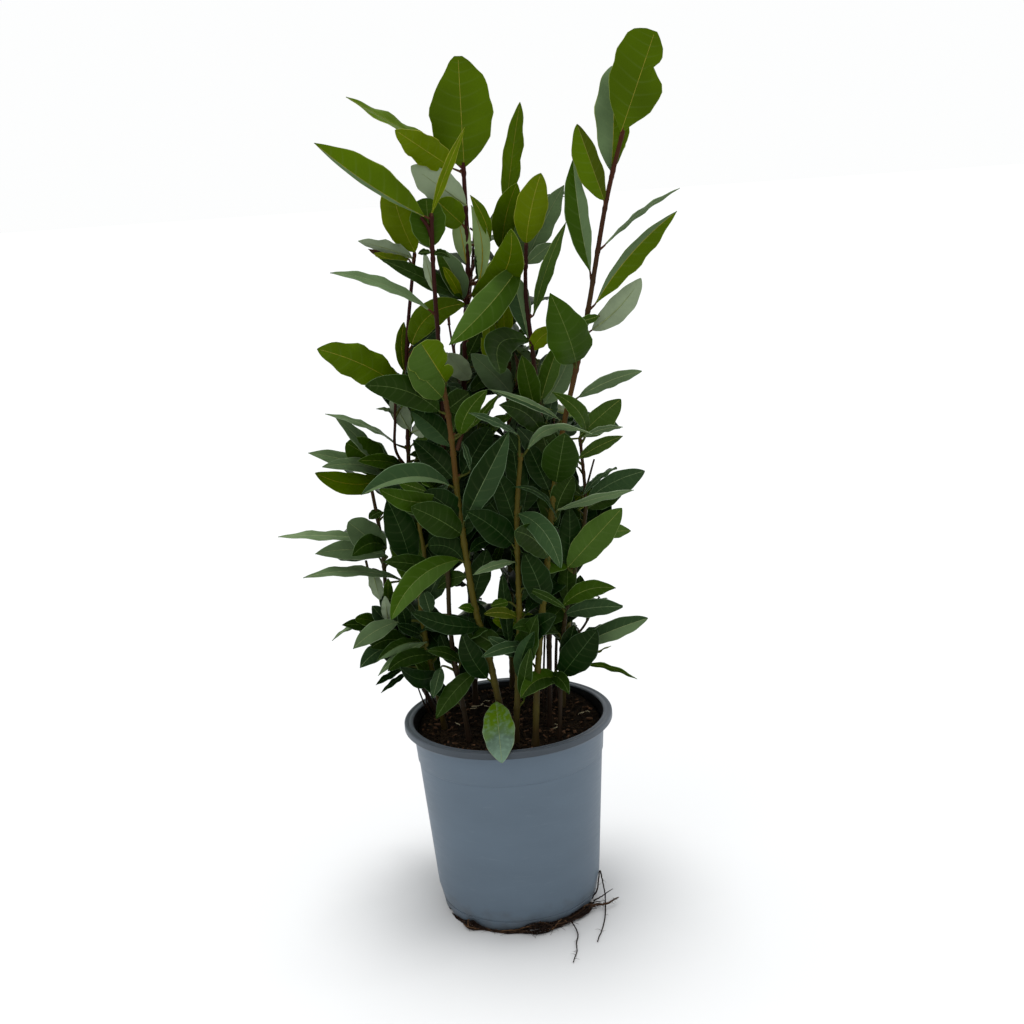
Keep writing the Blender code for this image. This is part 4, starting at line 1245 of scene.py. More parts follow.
def depth_at_row(limb, row):
    """The depth of a stem where it shows at a row of the photograph."""
    _, rows, _ = pixels_of(limb)
    return limb[int(np.argmin(np.abs(rows - row)))][1]


def point_at_height(limb, height):
    return limb[int(np.argmin(np.abs(limb[:, 2] - height)))]


class Shrub:
    """The stems' centrelines and the piles that their leaves, ribs and buds go to."""

    def __init__(self, leaf_look, other_looks):
        self.limbs = {name: limb_path(stem)[0] for name, stem in STEMS.items()}
        self.leaves = {side: Pile(f"leaves_{side}", leaf_look) for side in SIDES}
        self.ribs = {side: Pile(f"ribs_{side}", other_looks) for side in SIDES}
        self.buds = Pile("buds", other_looks)
        self.twigs = Pile("twigs", other_looks)
        self.nodes = {name: [] for name in STEMS}
        self.cover = Cover()
        self.count = 0

    def add_leaf(self, blade, limb, side, tint):
        grid = blade.add_to(self.leaves[side], tint)
        start_axis = unit(blade.centre(0.05) - blade.centre(0.0))
        stalk, radii, start = stalk_path(limb, blade.centre(0.0), start_axis)
        rib, rib_radii = blade.rib_path()
        add_rib(self.ribs[side], stalk, radii, rib, rib_radii, tint)
        self.count += 1
        return grid, start, unit(stalk[2] - stalk[0])

    def place_leaf(self, name, leaf, rng):
        """A leaf of the table, on the stem of that name."""
        limb = self.limbs[name]
        stem_y = depth_at_row(limb, leaf.foot[1])
        tip_y = leaf.depth * MM
        foot = at_depth(leaf.foot, stem_y + 0.08 * (tip_y - stem_y))
        tip = at_depth(leaf.tip, tip_y)
        facing = unit(CAMERA_PLACE - (foot + tip) / 2)
        blade = Blade(foot, tip, facing, leaf.width * MM, leaf.turn, leaf.arch, leaf.shape,
                      leaf.fold, leaf.wave, leaf.lean, rng)
        blade.droop = 0
        stem = STEMS[name]
        grid, start, out = self.add_leaf(blade, limb, stem.side, leaf.tint)
        self.cover.mark(grid)
        self.nodes[name].append(start[2])
        if rng.random() < BUD_CHANCE:
            add_bud(self.buds, start + out * stem.foot_radius * 0.7,
                    unit(out + np.array([0, 0, 1.6])), rng.uniform(*BUD_LENGTHS) * MM)

    def try_leaf(self, rng, base, heading, length, limb, side, ages):
        """Grows a leaf from base about a heading, if one fits in the box and stays hidden."""
        for attempt in range(GROW_TRIES):
            spread = rng.normal(0, GROW_STRAY + GROW_STRAY_GAIN * attempt, 3)
            direction = unit(heading + spread)
            size = length * (1 - GROW_SHRINK * attempt) * rng.uniform(0.9, 1.1)
            foot = base + direction * (rng.uniform(*GROWN_STALKS) * MM)
            past = foot[1] + direction[1] * size - BACK_REACH
            if past > 0:
                direction = unit(direction - np.array([0, past / size, 0]))
            drop = size * rng.uniform(*GROWN_DROPS)
            tip = foot + direction * size - np.array([0, 0, drop])
            to_front = np.array([0, FACING_FRONT if foot[1] < FACING_DEPTH else 0, 0])
            facing = unit(np.array([0, 0, 1]) + to_front + rng.normal(0, FACING_STRAY, 3))
            width = size * rng.uniform(*GROWN_WIDTHS)
            shape = pick(rng, GROWN_SHAPES)
            blade = Blade(foot, tip, facing, width, rng.uniform(*GROWN_TURNS),
                          rng.uniform(*GROWN_ARCHES), shape, rng.uniform(*GROWN_FOLDS),
                          rng.uniform(*GROWN_WAVES), 0, rng, rng.uniform(*GROWN_BOWS))
            grid, _, _ = blade.surface()
            high = tip[2] >= LEAST_TIP_HEIGHT
            if high and inside_box(grid) and self.cover.hides(grid):
                _, start, _ = self.add_leaf(blade, limb, side, pick(rng, ages))
                return start
        return None


def limb_path(stem):
    """The stem's centres and radii at short steps, upright and flared where it leaves the soil."""
    rough = smooth_path(stem.points, 60)
    length = np.sum(np.linalg.norm(np.diff(rough, axis=0), axis=1))
    count = int(length / LIMB_STEP)
    path = smooth_path(stem.points, count)
    share = np.linspace(0, 1, count)
    radii = stem.foot_radius + (stem.tip_radius - stem.foot_radius) * share
    if stem.points[0][2] == SOIL_TOP:
        rise = (path[:, 2] - SOIL_TOP) / FLARE_HEIGHT
        radii = radii * (1 + (FLARE - 1) * np.exp(-2.2 * np.clip(rise, 0, None) ** 1.4))
    return path, radii


def ages_at(place):
    """Chances of each leaf colour at a place: dark low down, partly the older leaves' own green and
    partly painted shade, dark in the heart as painted shade, young high up.
    """
    high = np.clip((place[2] - YOUNG_HEIGHT) / YOUNG_REACH, 0, 1)
    out = np.clip((math.hypot(place[0], place[1]) - HEART_RADIUS) / HEART_REACH, 0, 1)
    return {"dark": 5 * (1 - high) + 1.5 * (1 - out), "deep": 3, "mid": 0.4 + 2 * out,
            "blue": 0.3 + 0.8 * out, "fresh": 0.1 + 3 * high * out, "olive": 0.3 * out,
            "young": 1.2 * high ** 2 * out}


def grow_stem_leaves(shrub, rng):
    """Leaves in a spiral up every stem, wherever the leaves that show leave room behind them."""
    for name, stem in STEMS.items():
        limb = shrub.limbs[name]
        angle = rng.uniform(0, math.tau)
        height = max(stem.points[0][2] + BARE_FOOT, LEAST_NODE_HEIGHT)
        while height < stem.points[-1][2] - BARE_TIP:
            base = point_at_height(limb, height)
            angle += GOLDEN_ANGLE
            rise = rng.uniform(0.3, 1.1)
            heading = unit(np.array([math.cos(angle), math.sin(angle), rise]))
            length = rng.uniform(*STEM_LEAF_LENGTHS) * MM
            start = shrub.try_leaf(rng, base, heading, length, limb, stem.side, ages_at(base))
            if start is not None:
                shrub.nodes[name].append(start[2])
            height += rng.uniform(*NODE_SPACINGS) * MM


def grow_twigs(shrub, rng):
    """Twigs towards the back and sides of the crown, each with its own spiral of leaves."""
    for twig in TWIGS:
        start = point_at_height(shrub.limbs[twig.stem], twig.height)
        tip = np.array(twig.tip)
        middle = (start + tip) / 2 - np.array([0, 0, TWIG_SAG * np.linalg.norm(tip - start)])
        path = smooth_path([start, middle, tip], TWIG_RINGS)
        radii = np.linspace(TWIG_FOOT_RADIUS, TWIG_TIP_RADIUS, TWIG_RINGS)
        add_tube(shrub.twigs, path, radii, TWIG_SIDES, "bark_brown")
        axis = unit(tip - start)
        first = unit(np.cross(axis, [0.2, 0.4, 0.9]))
        second = np.cross(axis, first)
        angle = rng.uniform(0, math.tau)
        side = STEMS[twig.stem].side
        for i in range(TWIG_FIRST_LEAF, TWIG_RINGS, TWIG_LEAF_STEP):
            angle += GOLDEN_ANGLE
            out = math.cos(angle) * first + math.sin(angle) * second
            heading = unit(out + axis * rng.uniform(0.3, 0.9) + np.array([0, 0, 0.25]))
            if i + TWIG_LEAF_STEP >= TWIG_RINGS:
                heading = unit(axis + np.array([0, 0, 0.5]))
            length = rng.uniform(*TWIG_LEAF_LENGTHS) * MM
            shrub.try_leaf(rng, path[i], heading, length, path, side, ages_at(path[i]))


def add_thin_stems(shrub):
    """The thin stems that rise out of the soil, the bare side twig and the stout petioles."""
    for pixels, gain, radius in THIN_STEMS:
        foot = at_height(pixels[0], SOIL_TOP - THIN_STEM_DEPTH)
        steps = np.linspace(0, gain * MM, len(pixels))
        points = [foot] + [at_depth(p, foot[1] + step) for p, step in zip(pixels[1:], steps[1:])]
        path = smooth_path(points, THIN_STEM_RINGS)
        radii = np.linspace(radius, THIN_STEM_TAPER * radius, THIN_STEM_RINGS) * MM
        add_tube(shrub.twigs, path, radii, TWIG_SIDES, "bark_brown")
    for stem, pixels, radius in SIDE_TWIGS:
        depth = depth_at_row(shrub.limbs[stem], pixels[0][1])
        path = smooth_path([at_depth(p, depth) for p in pixels], SIDE_TWIG_RINGS)
        radii = np.linspace(radius, SIDE_TWIG_TAPER * radius, SIDE_TWIG_RINGS) * MM
        add_tube(shrub.twigs, path, radii, TWIG_SIDES, "bark_brown")


def make_leaves(shrub):
    rng = np.random.default_rng(SEED)
    for name, leaves in LEAVES.items():
        for leaf in leaves:
            shrub.place_leaf(name, leaf, rng)
    placed = shrub.count
    grow_stem_leaves(shrub, rng)
    grow_twigs(shrub, rng)
    add_thin_stems(shrub)
    print("leaves placed and grown:", placed, shrub.count - placed)
    for side in SIDES:
        made = shrub.leaves[side].make(50)
        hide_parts(*MASSES[side])
        shrub.ribs[side].make(60)
    shrub.buds.make(60)
    shrub.twigs.make(60)


# ---------------------------------------------------------------- bark

BARK_SIDES = 14
# Swelling at a node and the leaf scar below it, as shares of the radius, with their reach
NODE_SWELL = 0.16
NODE_REACH = 1.8 * MM
SCAR_DEPTH = 0.05
SCAR_REACH = 0.8 * MM
SCAR_BELOW = 3.2 * MM
SWELL_LIMITS = (-0.06, 0.30)
# Ridges along the stem and the pores between them, as shares of the radius
RIDGE_RISE = 0.055
FINE_RIDGE_RISE = 0.03
PORE_RISES = (0.04, 0.09)


def bark_relief(path, nodes, rng):
    """A share of the radius for each ring and side of a stem."""
    heights = path[:, 2]
    swell = np.zeros(len(path))
    for node in nodes:
        swell += NODE_SWELL * np.exp(-((heights - node) / NODE_REACH) ** 2)
        swell -= SCAR_DEPTH * np.exp(-((heights - node + SCAR_BELOW) / SCAR_REACH) ** 2)
    swell = np.clip(swell, *SWELL_LIMITS)
    relief = np.ones((len(path), BARK_SIDES)) * (1 + swell)[:, None]
    angles = np.arange(BARK_SIDES) * math.tau / BARK_SIDES
    for i, height in enumerate(heights):
        for j, angle in enumerate(angles):
            spot = Vector((math.cos(angle) * 1.3, math.sin(angle) * 1.3, height * 60))
            relief[i, j] += (RIDGE_RISE * noise.noise(spot)
                             + FINE_RIDGE_RISE * noise.noise(spot * 3.1))
    for _ in range(len(path) // 3):
        i = rng.integers(1, len(path) - 1)
        relief[i, rng.integers(0, BARK_SIDES)] += rng.uniform(*PORE_RISES)
    return relief


def make_bark(shrub, barks):
    """Each stem with its nodes, leaf scars, ridges and pores in relief."""
    rng = np.random.default_rng(SEED + 1)
    for name, stem in STEMS.items():
        path, radii = limb_path(stem)
        relief = bark_relief(path, shrub.nodes[name], rng)
        points, faces = tube(path, radii, BARK_SIDES, wobble=relief)
        pile = Pile(f"bark_{name}", barks)
        pile.add(points, faces, [stem.slot] * len(faces))
        made = pile.make(60)
        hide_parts(name)


# ---------------------------------------------------------------- pot, compost and roots

POT_HEIGHT = 0.181
RIM_RADIUS = 0.0950
RIM_LIP_HEIGHT = 0.0058
MOUTH_RADIUS = 0.0869
SHOULDER_RADIUS = 0.0858
SHOULDER_HEIGHT = 0.1680
HEEL_RADIUS = 0.0753
HEEL_HEIGHT = 0.0240
RING_RADIUS = 0.0722
RING_HEIGHT = 0.0105
FOOT_RADIUS = 0.0700
WALL = 0.0013
FLOOR = 0.0020
BAND_HEIGHT = 0.1466
POT_SEGMENTS = 192
# Roundings of the rim at the mouth and outside, and the steps of each
MOUTH_ROUND = 0.0012
RIM_ROUND = 0.0014
ROUND_STEPS = 5
# Steps down the wall from the band to the heel
WALL_STEPS = 14
POT_SHARP_DEGREES = 35


def pot_profile():
    """The pot's section inside, over the rim and outside, as (radius, height) points."""
    lip_bottom = POT_HEIGHT - RIM_LIP_HEIGHT
    inner = [(0.0004, FLOOR), (FOOT_RADIUS - WALL - 0.001, FLOOR),
             (FOOT_RADIUS - WALL, FLOOR + 0.001), (RING_RADIUS - WALL, RING_HEIGHT),
             (HEEL_RADIUS - WALL, HEEL_HEIGHT),
             (SHOULDER_RADIUS - WALL, SHOULDER_HEIGHT), (MOUTH_RADIUS, lip_bottom + 0.0006)]
    rim = [(MOUTH_RADIUS, POT_HEIGHT - MOUTH_ROUND)]
    for k in range(1, ROUND_STEPS):
        a = math.pi / 2 * k / ROUND_STEPS
        rim.append((MOUTH_RADIUS + MOUTH_ROUND * (1 - math.cos(a)),
                    POT_HEIGHT - MOUTH_ROUND * (1 - math.sin(a))))
    rim += [(MOUTH_RADIUS + 0.0026, POT_HEIGHT), (MOUTH_RADIUS + 0.0034, POT_HEIGHT - 0.0004),
            (MOUTH_RADIUS + 0.0046, POT_HEIGHT - 0.0004), (MOUTH_RADIUS + 0.0054, POT_HEIGHT)]
    for k in range(ROUND_STEPS + 1):
        a = math.pi / 2 * k / ROUND_STEPS
        rim.append((RIM_RADIUS - RIM_ROUND * (1 - math.sin(a)),
                    POT_HEIGHT - RIM_ROUND * (1 - math.cos(a))))
    rim += [(RIM_RADIUS, lip_bottom + 0.0006), (RIM_RADIUS - 0.0005, lip_bottom),
            (MOUTH_RADIUS + WALL + 0.0016, lip_bottom)]
    slope = (SHOULDER_RADIUS - HEEL_RADIUS) / (SHOULDER_HEIGHT - HEEL_HEIGHT)
    at_band = SHOULDER_RADIUS - slope * (SHOULDER_HEIGHT - BAND_HEIGHT)
    below_band = BAND_HEIGHT - 0.0010
    outer = [(MOUTH_RADIUS + WALL + 0.0004, lip_bottom - 0.0010),
             (SHOULDER_RADIUS + 0.0009, SHOULDER_HEIGHT), (at_band + 0.0008, BAND_HEIGHT),
             (at_band + 0.0004, BAND_HEIGHT - 0.0006), (at_band - 0.0001, below_band)]
    for k in range(1, WALL_STEPS):
        z = below_band - (below_band - HEEL_HEIGHT) * k / WALL_STEPS
        outer.append((HEEL_RADIUS + slope * (z - HEEL_HEIGHT), z))
    outer += [(HEEL_RADIUS, HEEL_HEIGHT), (HEEL_RADIUS - 0.0008, HEEL_HEIGHT - 0.0030),
              (RING_RADIUS + 0.0005, RING_HEIGHT + 0.0022),
              (RING_RADIUS + 0.0003, RING_HEIGHT + 0.0009),
              (RING_RADIUS - 0.0009, RING_HEIGHT + 0.0006),
              (RING_RADIUS - 0.0009, RING_HEIGHT - 0.0006),
              (RING_RADIUS - 0.0001, RING_HEIGHT - 0.0011), (FOOT_RADIUS + 0.0009, 0.0030),
              (FOOT_RADIUS + 0.0002, 0.0006), (FOOT_RADIUS - 0.0006, 0), (0.0004, 0)]
    return inner, rim, outer


def turned_points(profile, segments):
    """A row of points round the pot's axis for each (radius, height) point of a section."""
    angles = np.arange(segments) * math.tau / segments
    rows = [[(r * math.cos(a), r * math.sin(a), z) for a in angles] for r, z in profile]
    return np.array(rows)


def turned_faces(rows, segments):
    """Faces of the closed body that such rows of points make."""
    faces = grid_faces(rows, segments, around=True)
    faces.append(tuple(range(segments))[::-1])
    faces.append(tuple((rows - 1) * segments + j for j in range(segments)))
    return faces


# The drain openings that are cut, of eight: the photo shows a whole wall at the sixth
DRAINS = (0, 1, 2, 3, 4, 6, 7)
DRAIN_COUNT = 8
DRAIN_TURN = math.radians(22.5)
DRAIN_HALF_WIDTH = 0.005
DRAIN_REACH = 0.010
# The outline of an opening, as (share of the half width, height)
DRAIN_ARCH = [(-1, -0.004), (1, -0.004), (1, 0.0030), (0.75, 0.0043), (0, 0.0048),
              (-0.75, 0.0043), (-1, 0.0030)]


def cut_drains(pot):
    """Low openings through the wall at the foot."""
    cutters = []
    corners = len(DRAIN_ARCH)
    sides = [(k, (k + 1) % corners, corners + (k + 1) % corners, corners + k)
             for k in range(corners)]
    ends = [tuple(range(corners))[::-1], tuple(range(corners, 2 * corners))]
    for i in DRAINS:
        angle = DRAIN_TURN + i * math.tau / DRAIN_COUNT
        mesh = bpy.data.meshes.new(f"drain_{i}")
        points = [(x, share * DRAIN_HALF_WIDTH, z) for x in (-DRAIN_REACH, DRAIN_REACH)
                  for share, z in DRAIN_ARCH]
        mesh.from_pydata(points, [], ends + sides)
        mesh.transform(Matrix.Rotation(angle, 4, "Z") @ Matrix.Translation((FOOT_RADIUS, 0, 0)))
        cutter = linked_object(f"drain_{i}", mesh)
        boolean = pot.modifiers.new(f"drain_{i}", "BOOLEAN")
        boolean.operation = "DIFFERENCE"
        boolean.solver = "EXACT"
        boolean.object = cutter
        cutters.append(cutter)
    bpy.context.view_layer.update()
    graph = bpy.context.evaluated_depsgraph_get()
    mesh = bpy.data.meshes.new_from_object(pot.evaluated_get(graph))
    pot.modifiers.clear()
    pot.data = mesh
    for cutter in cutters:
        bpy.data.objects.remove(cutter)


def make_pot():
    inner, rim, outer = pot_profile()
    profile = inner + rim + outer
    points = turned_points(profile, POT_SEGMENTS)
    parts = (["inside"] * len(inner) + ["rim"] * len(rim) + ["body"] * (len(outer) - 1))
    looks = [part for part in parts for _ in range(POT_SEGMENTS)] + ["inside", "body"]
    pile = Pile("pot_shell", {part: pot_material(part) for part in POT_COLOURS})
    pile.add(points.reshape(-1, 3), turned_faces(len(profile), POT_SEGMENTS), looks)
    pot = pile.make(POT_SHARP_DEGREES)
    cut_drains(pot)
    pot.data.shade_smooth()
    pot.data.set_sharp_from_angle(angle=math.radians(POT_SHARP_DEGREES))
    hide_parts("pot")


# The compost rises towards the back, from this depth over this reach
COMPOST_HEAP = 0.0065
HEAP_START = 0.005
HEAP_REACH = 0.055
# Its lumps, crumbs and grains: scale, layer of the noise and height in mm, and how far all of
# it is sunk in mm
COMPOST_NOISE = [(60, 1.7, 1.6), (210, 4.1, 1.1), (620, 8.3, 0.45)]
COMPOST_SINK = 0.4
COMPOST_RINGS = 54
COMPOST_SEGMENTS = 150
# Radius of the face at the middle, in rings, and the clearance from the wall and the floor
COMPOST_CENTRE = 0.02
COMPOST_CLEARANCE = 0.00045
COMPOST_LIFT = 0.0003
# How far inside the wall's shoulder chips and the middles of strands lie, and how much further
# out the ends of strands may go
CHIP_MARGIN = 0.006
STRAND_SPARE = 0.003
CHIP_COUNT = 900
CHIP_LENGTHS = (1.5, 6.5)
CHIP_RISE = 0.4 * MM
CHIP_FACES = [(0, 1, 3, 2), (4, 6, 7, 5), (0, 4, 5, 1), (2, 3, 7, 6), (0, 2, 6, 4), (1, 5, 7, 3)]
# Strands on the compost: kind, count, greatest length and radius in mm
STRANDS = [("fibre", 420, 13, 0.22), ("straw", 9, 17, 0.42)]
STRAND_RINGS = 7
STRAND_SIDES = 5


def compost_height(x, y):
    """The compost's crumbly surface, heaped up towards the back of the pot."""
    share = min(max((y - HEAP_START) / HEAP_REACH, 0), 1)
    heap = COMPOST_HEAP * share * share * (3 - 2 * share)
    rise = sum(noise.noise(Vector((x * scale, y * scale, layer))) * height
               for scale, layer, height in COMPOST_NOISE)
    return SOIL_TOP + heap + (rise - COMPOST_SINK) * MM


def make_compost():
    clear = WALL + COMPOST_CLEARANCE
    outer = SHOULDER_RADIUS - clear
    last_ring = COMPOST_RINGS - 1 + COMPOST_CENTRE
    top = turned_points([(outer * (i + COMPOST_CENTRE) / last_ring, 0)
                         for i in range(COMPOST_RINGS)], COMPOST_SEGMENTS)
    for row in top:
        for point in row:
            point[2] = compost_height(point[0], point[1])
    floor = FLOOR + COMPOST_LIFT
    skirt = [(outer, SHOULDER_HEIGHT - 0.002), (HEEL_RADIUS - clear, HEEL_HEIGHT),
             (RING_RADIUS - clear, RING_HEIGHT), (FOOT_RADIUS - clear, floor), (0.001, floor)]
    points = np.concatenate([top, turned_points(skirt, COMPOST_SEGMENTS)])
    faces = turned_faces(len(points), COMPOST_SEGMENTS)
    soil = mottled_material("compost", (25, 20, 15), roughness=0.95, scale=240, spread=0.8,
                            specular=0.02)
    pile = Pile("compost_body", {"soil": soil})
    pile.add(points.reshape(-1, 3), faces, ["soil"] * len(faces))
    made = pile.make(180)
    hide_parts("compost")


def compost_looks():
    brown = {"chip_dark": ((40, 31, 22), 0.6), "chip_brown": ((82, 60, 44), 0.5),
             "fibre": ((50, 38, 26), 0.5)}
    looks = {name: mottled_material(name, colour, roughness=0.9, scale=400, spread=spread,
                                    specular=0.02)
             for name, (colour, spread) in brown.items()}
    looks["straw"] = mottled_material("straw", (168, 158, 128), roughness=0.7, scale=300,
                                      spread=0.3, specular=0.2)
    return looks


def compost_spot(rng):
    """A random place on the compost."""
    r = (SHOULDER_RADIUS - CHIP_MARGIN) * math.sqrt(rng.random())
    a = rng.uniform(0, math.tau)
    return r * math.cos(a), r * math.sin(a)


def add_chip(pile, rng):
    """A flat, uneven chip of bark."""
    x, y = compost_spot(rng)
    size = rng.uniform(*CHIP_LENGTHS) * MM
    heading = rng.uniform(0, math.tau)
    tilt = rng.normal(0, 0.25)
    across = size * rng.uniform(0.25, 0.6)
    thick = size * rng.uniform(0.10, 0.25)
    along = np.array([math.cos(heading), math.sin(heading), tilt])
    side = np.array([-math.sin(heading), math.cos(heading), rng.normal(0, 0.2)])
    up = unit(np.cross(along, side))
    centre = np.array([x, y, compost_height(x, y) + CHIP_RISE])
    corners = [centre + along * sx * size / 2 * rng.uniform(0.7, 1.1)
               + side * sy * across / 2 * rng.uniform(0.6, 1.1) + up * sz * thick / 2
               for sx in (-1, 1) for sy in (-1, 1) for sz in (-1, 1)]
    look = pick(rng, {"chip_dark": 5, "chip_brown": 2})
    pile.add(np.array(corners), CHIP_FACES, [look] * len(CHIP_FACES))


def add_strand(pile, rng, kind, longest, radius):
    """A fibre or straw that lies bent on the compost, inside the pot's wall."""
    x, y = compost_spot(rng)
    heading = rng.uniform(0, math.tau)
    length = rng.uniform(0.3, 1.0) * longest * MM
    bend = rng.normal(0, 0.9)
    limit = SHOULDER_RADIUS - CHIP_MARGIN + STRAND_SPARE
    path = []
    for s in np.linspace(-0.5, 0.5, STRAND_RINGS):
        a = heading + bend * s
        px = x + math.cos(a) * s * length
        py = y + math.sin(a) * s * length
        reach = math.hypot(px, py)
        if reach > limit:
            px *= limit / reach
            py *= limit / reach
        path.append((px, py, compost_height(px, py) + (0.4 + 0.8 * (0.25 - s * s)) * MM))
    add_tube(pile, path, np.full(len(path), radius * MM), STRAND_SIDES, kind)


def make_compost_bits():
    """Bark chips, fibres and a few straws on the compost."""
    rng = np.random.default_rng(SEED + 2)
    pile = Pile("compost_bits", compost_looks())
    for _ in range(CHIP_COUNT):
        add_chip(pile, rng)
    for kind, count, longest, radius in STRANDS:
        for _ in range(count):
            add_strand(pile, rng, kind, longest, radius)
    made = pile.make(30)


def wall_radius(height):
    """The pot's outer radius near its foot."""
    if height < RING_HEIGHT:
        return FOOT_RADIUS + (RING_RADIUS - FOOT_RADIUS) * height / RING_HEIGHT
    share = (height - RING_HEIGHT) / (HEEL_HEIGHT - RING_HEIGHT)
    return RING_RADIUS + (HEEL_RADIUS - RING_RADIUS) * share


MAT_START = math.radians(205)
MAT_END = math.radians(334)
MAT_THICKNESS = 0.0036
MAT_GAP = 0.0003
# Thicker places of the root mat: angle, added share of thickness, reach in degrees
MAT_LUMPS = [(231, 0.95, 7), (281, 1.35, 11), (300, 0.6, 9), (319, 1.15, 11)]
# Where the thin front strands bow away from the wall: angle, distance, reach in degrees
MAT_BOW = (252, 0.0022, 14)
MAT_ROOTS = 190
MAT_HAIRS = 20
MAT_CRUMBS = 420
# Radii in mm of the mat's roots and of its hairs
ROOT_RADII = (0.25, 0.62)
HAIR_RADII = (0.16, 0.34)
# Roots and crumbs stay this far above the ground
LEAST_HEIGHT = 0.0001
UP = np.array([0, 0, 1])


def outward(angle):
    """The level direction away from the pot's axis."""
    return np.array([math.cos(angle), math.sin(angle), 0])


def hump(angle, degrees, reach):
    """1 at an angle given in degrees, and less on either side of it."""
    return math.exp(-((math.degrees(angle) - degrees) / reach) ** 2)


def mat_ring(angle):
    """Centre and radius of the root mat at an angle round the foot of the pot."""
    share = (angle - MAT_START) / (MAT_END - MAT_START)
    swell = 0.34 + 0.30 * noise.noise(Vector((share * 16.0, 4.2, 0.5)))
    for degrees, height, spread in MAT_LUMPS:
        swell += height * hump(angle, degrees, spread)
    ends = 0.45 + 0.55 * math.sqrt(max(math.sin(math.pi * share), 0))
    radius = MAT_THICKNESS * swell * ends
    degrees, distance, spread = MAT_BOW
    bow = distance * hump(angle, degrees, spread)
    reach = wall_radius(2 * radius) + radius + MAT_GAP + bow
    return np.array([reach * math.cos(angle), reach * math.sin(angle), radius + MAT_GAP]), radius


def root_looks():
    colours = {"root_dark": ((30, 21, 16), 0.9, 0.6), "root_brown": ((58, 41, 29), 0.85, 0.5),
               "root_pale": ((98, 74, 52), 0.8, 0.4)}
    return {name: mottled_material(name, colour, roughness, scale=300, spread=spread,
                                   specular=0.08)
            for name, (colour, roughness, spread) in colours.items()}


def add_root(pile, points, radius, look, rings, taper, wander=0.0, rng=None):
    """One thin root through the points, wandering a little if it has a generator for that."""
    path = smooth_path(points, rings)
    if rng is not None:
        jitter = rng.normal(0, wander, (rings, 3))
        jitter[0] = 0
        path = path + jitter
    path[:, 2] = np.maximum(path[:, 2], radius + LEAST_HEIGHT)
    radii = radius * (1 - taper * np.linspace(0, 1, rings))
    add_tube(pile, path, radii, RIB_SIDES, look)


def add_crumb(pile, spot, size, rng):
    """A lump of compost with uneven corners."""
    ring = [(math.cos(a), math.sin(a), 0) for a in np.arange(5) * math.tau / 5]
    corners = np.array([(0, 0, 1), *ring, (0, 0, -1)]) * rng.uniform(0.6, 1.1, (7, 1)) * size
    corners[:, 2] *= 0.8
    corners += spot
    corners[:, 2] = np.maximum(corners[:, 2], LEAST_HEIGHT)
    faces = [(0, 1 + k, 1 + (k + 1) % 5) for k in range(5)]
    faces += [(6, 1 + (k + 1) % 5, 1 + k) for k in range(5)]
    pile.add(corners, faces, ["root_dark"] * 10)


def add_mat_root(pile, rng):
    """A root that runs along the mat and winds round its middle."""
    a = rng.uniform(MAT_START, MAT_END - 0.05)
    span = rng.uniform(0.12, 0.55)
    offset = rng.uniform(0, math.tau)
    turn = rng.normal(0, 2.2)
    share = rng.uniform(0.35, 1.0)
    points = []
    steps = 6
    for k in range(steps + 1):
        angle = min(max(a + span * k / steps, MAT_START), MAT_END)
        centre, radius = mat_ring(angle)
        phi = offset + turn * k / steps
        points.append(centre + radius * share * (math.cos(phi) * outward(angle)
                                                 + math.sin(phi) * UP))
    look = pick(rng, {"root_dark": 6, "root_brown": 3, "root_pale": 0.7})
    add_root(pile, points, rng.uniform(*ROOT_RADII) * MM, look, rings=20, taper=0.4,
             wander=0.00022, rng=rng)


def add_mat_hair(pile, rng):
    """A short fine root that sticks out of the mat."""
    a = rng.uniform(MAT_START + 0.1, MAT_END - 0.05)
    centre, radius = mat_ring(a)
    round_foot = np.array([-math.sin(a), math.cos(a), 0])
    length = rng.uniform(2, 9) * MM
    lean = rng.normal(0, 0.9)
    start = centre + outward(a) * radius * 0.6
    end = start + (outward(a) + round_foot * lean) * length
    end[2] = rng.uniform(0.3, 3.5) * MM
    middle = (start + end) / 2 + np.array([0, 0, rng.uniform(-0.5, 1.5) * MM])
    radius = rng.uniform(*HAIR_RADII) * MM
    add_root(pile, [start, middle, end], radius, pick(rng, {"root_dark": 3, "root_brown": 2}),
             rings=10, taper=0.7, wander=0.00015, rng=rng)


def make_root_mat(looks):
    """Many thin roots that run round the foot, cross and stick out, with crumbs of compost."""
    rng = np.random.default_rng(SEED + 3)
    pile = Pile("root_felt", looks)
    for _ in range(MAT_ROOTS):
        add_mat_root(pile, rng)
    for _ in range(MAT_HAIRS):
        add_mat_hair(pile, rng)
    for _ in range(MAT_CRUMBS):
        a = rng.uniform(MAT_START, MAT_END)
        centre, radius = mat_ring(a)
        phi = rng.uniform(0, math.tau)
        reach = radius * rng.uniform(0.3, 0.95)
        spot = centre + reach * (math.cos(phi) * outward(a) + math.sin(phi) * UP)
        add_crumb(pile, spot, rng.uniform(0.6, 1.5) * MM * (0.5 + radius / MAT_THICKNESS / 2), rng)
    made = pile.make(70)
    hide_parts("root_mat")


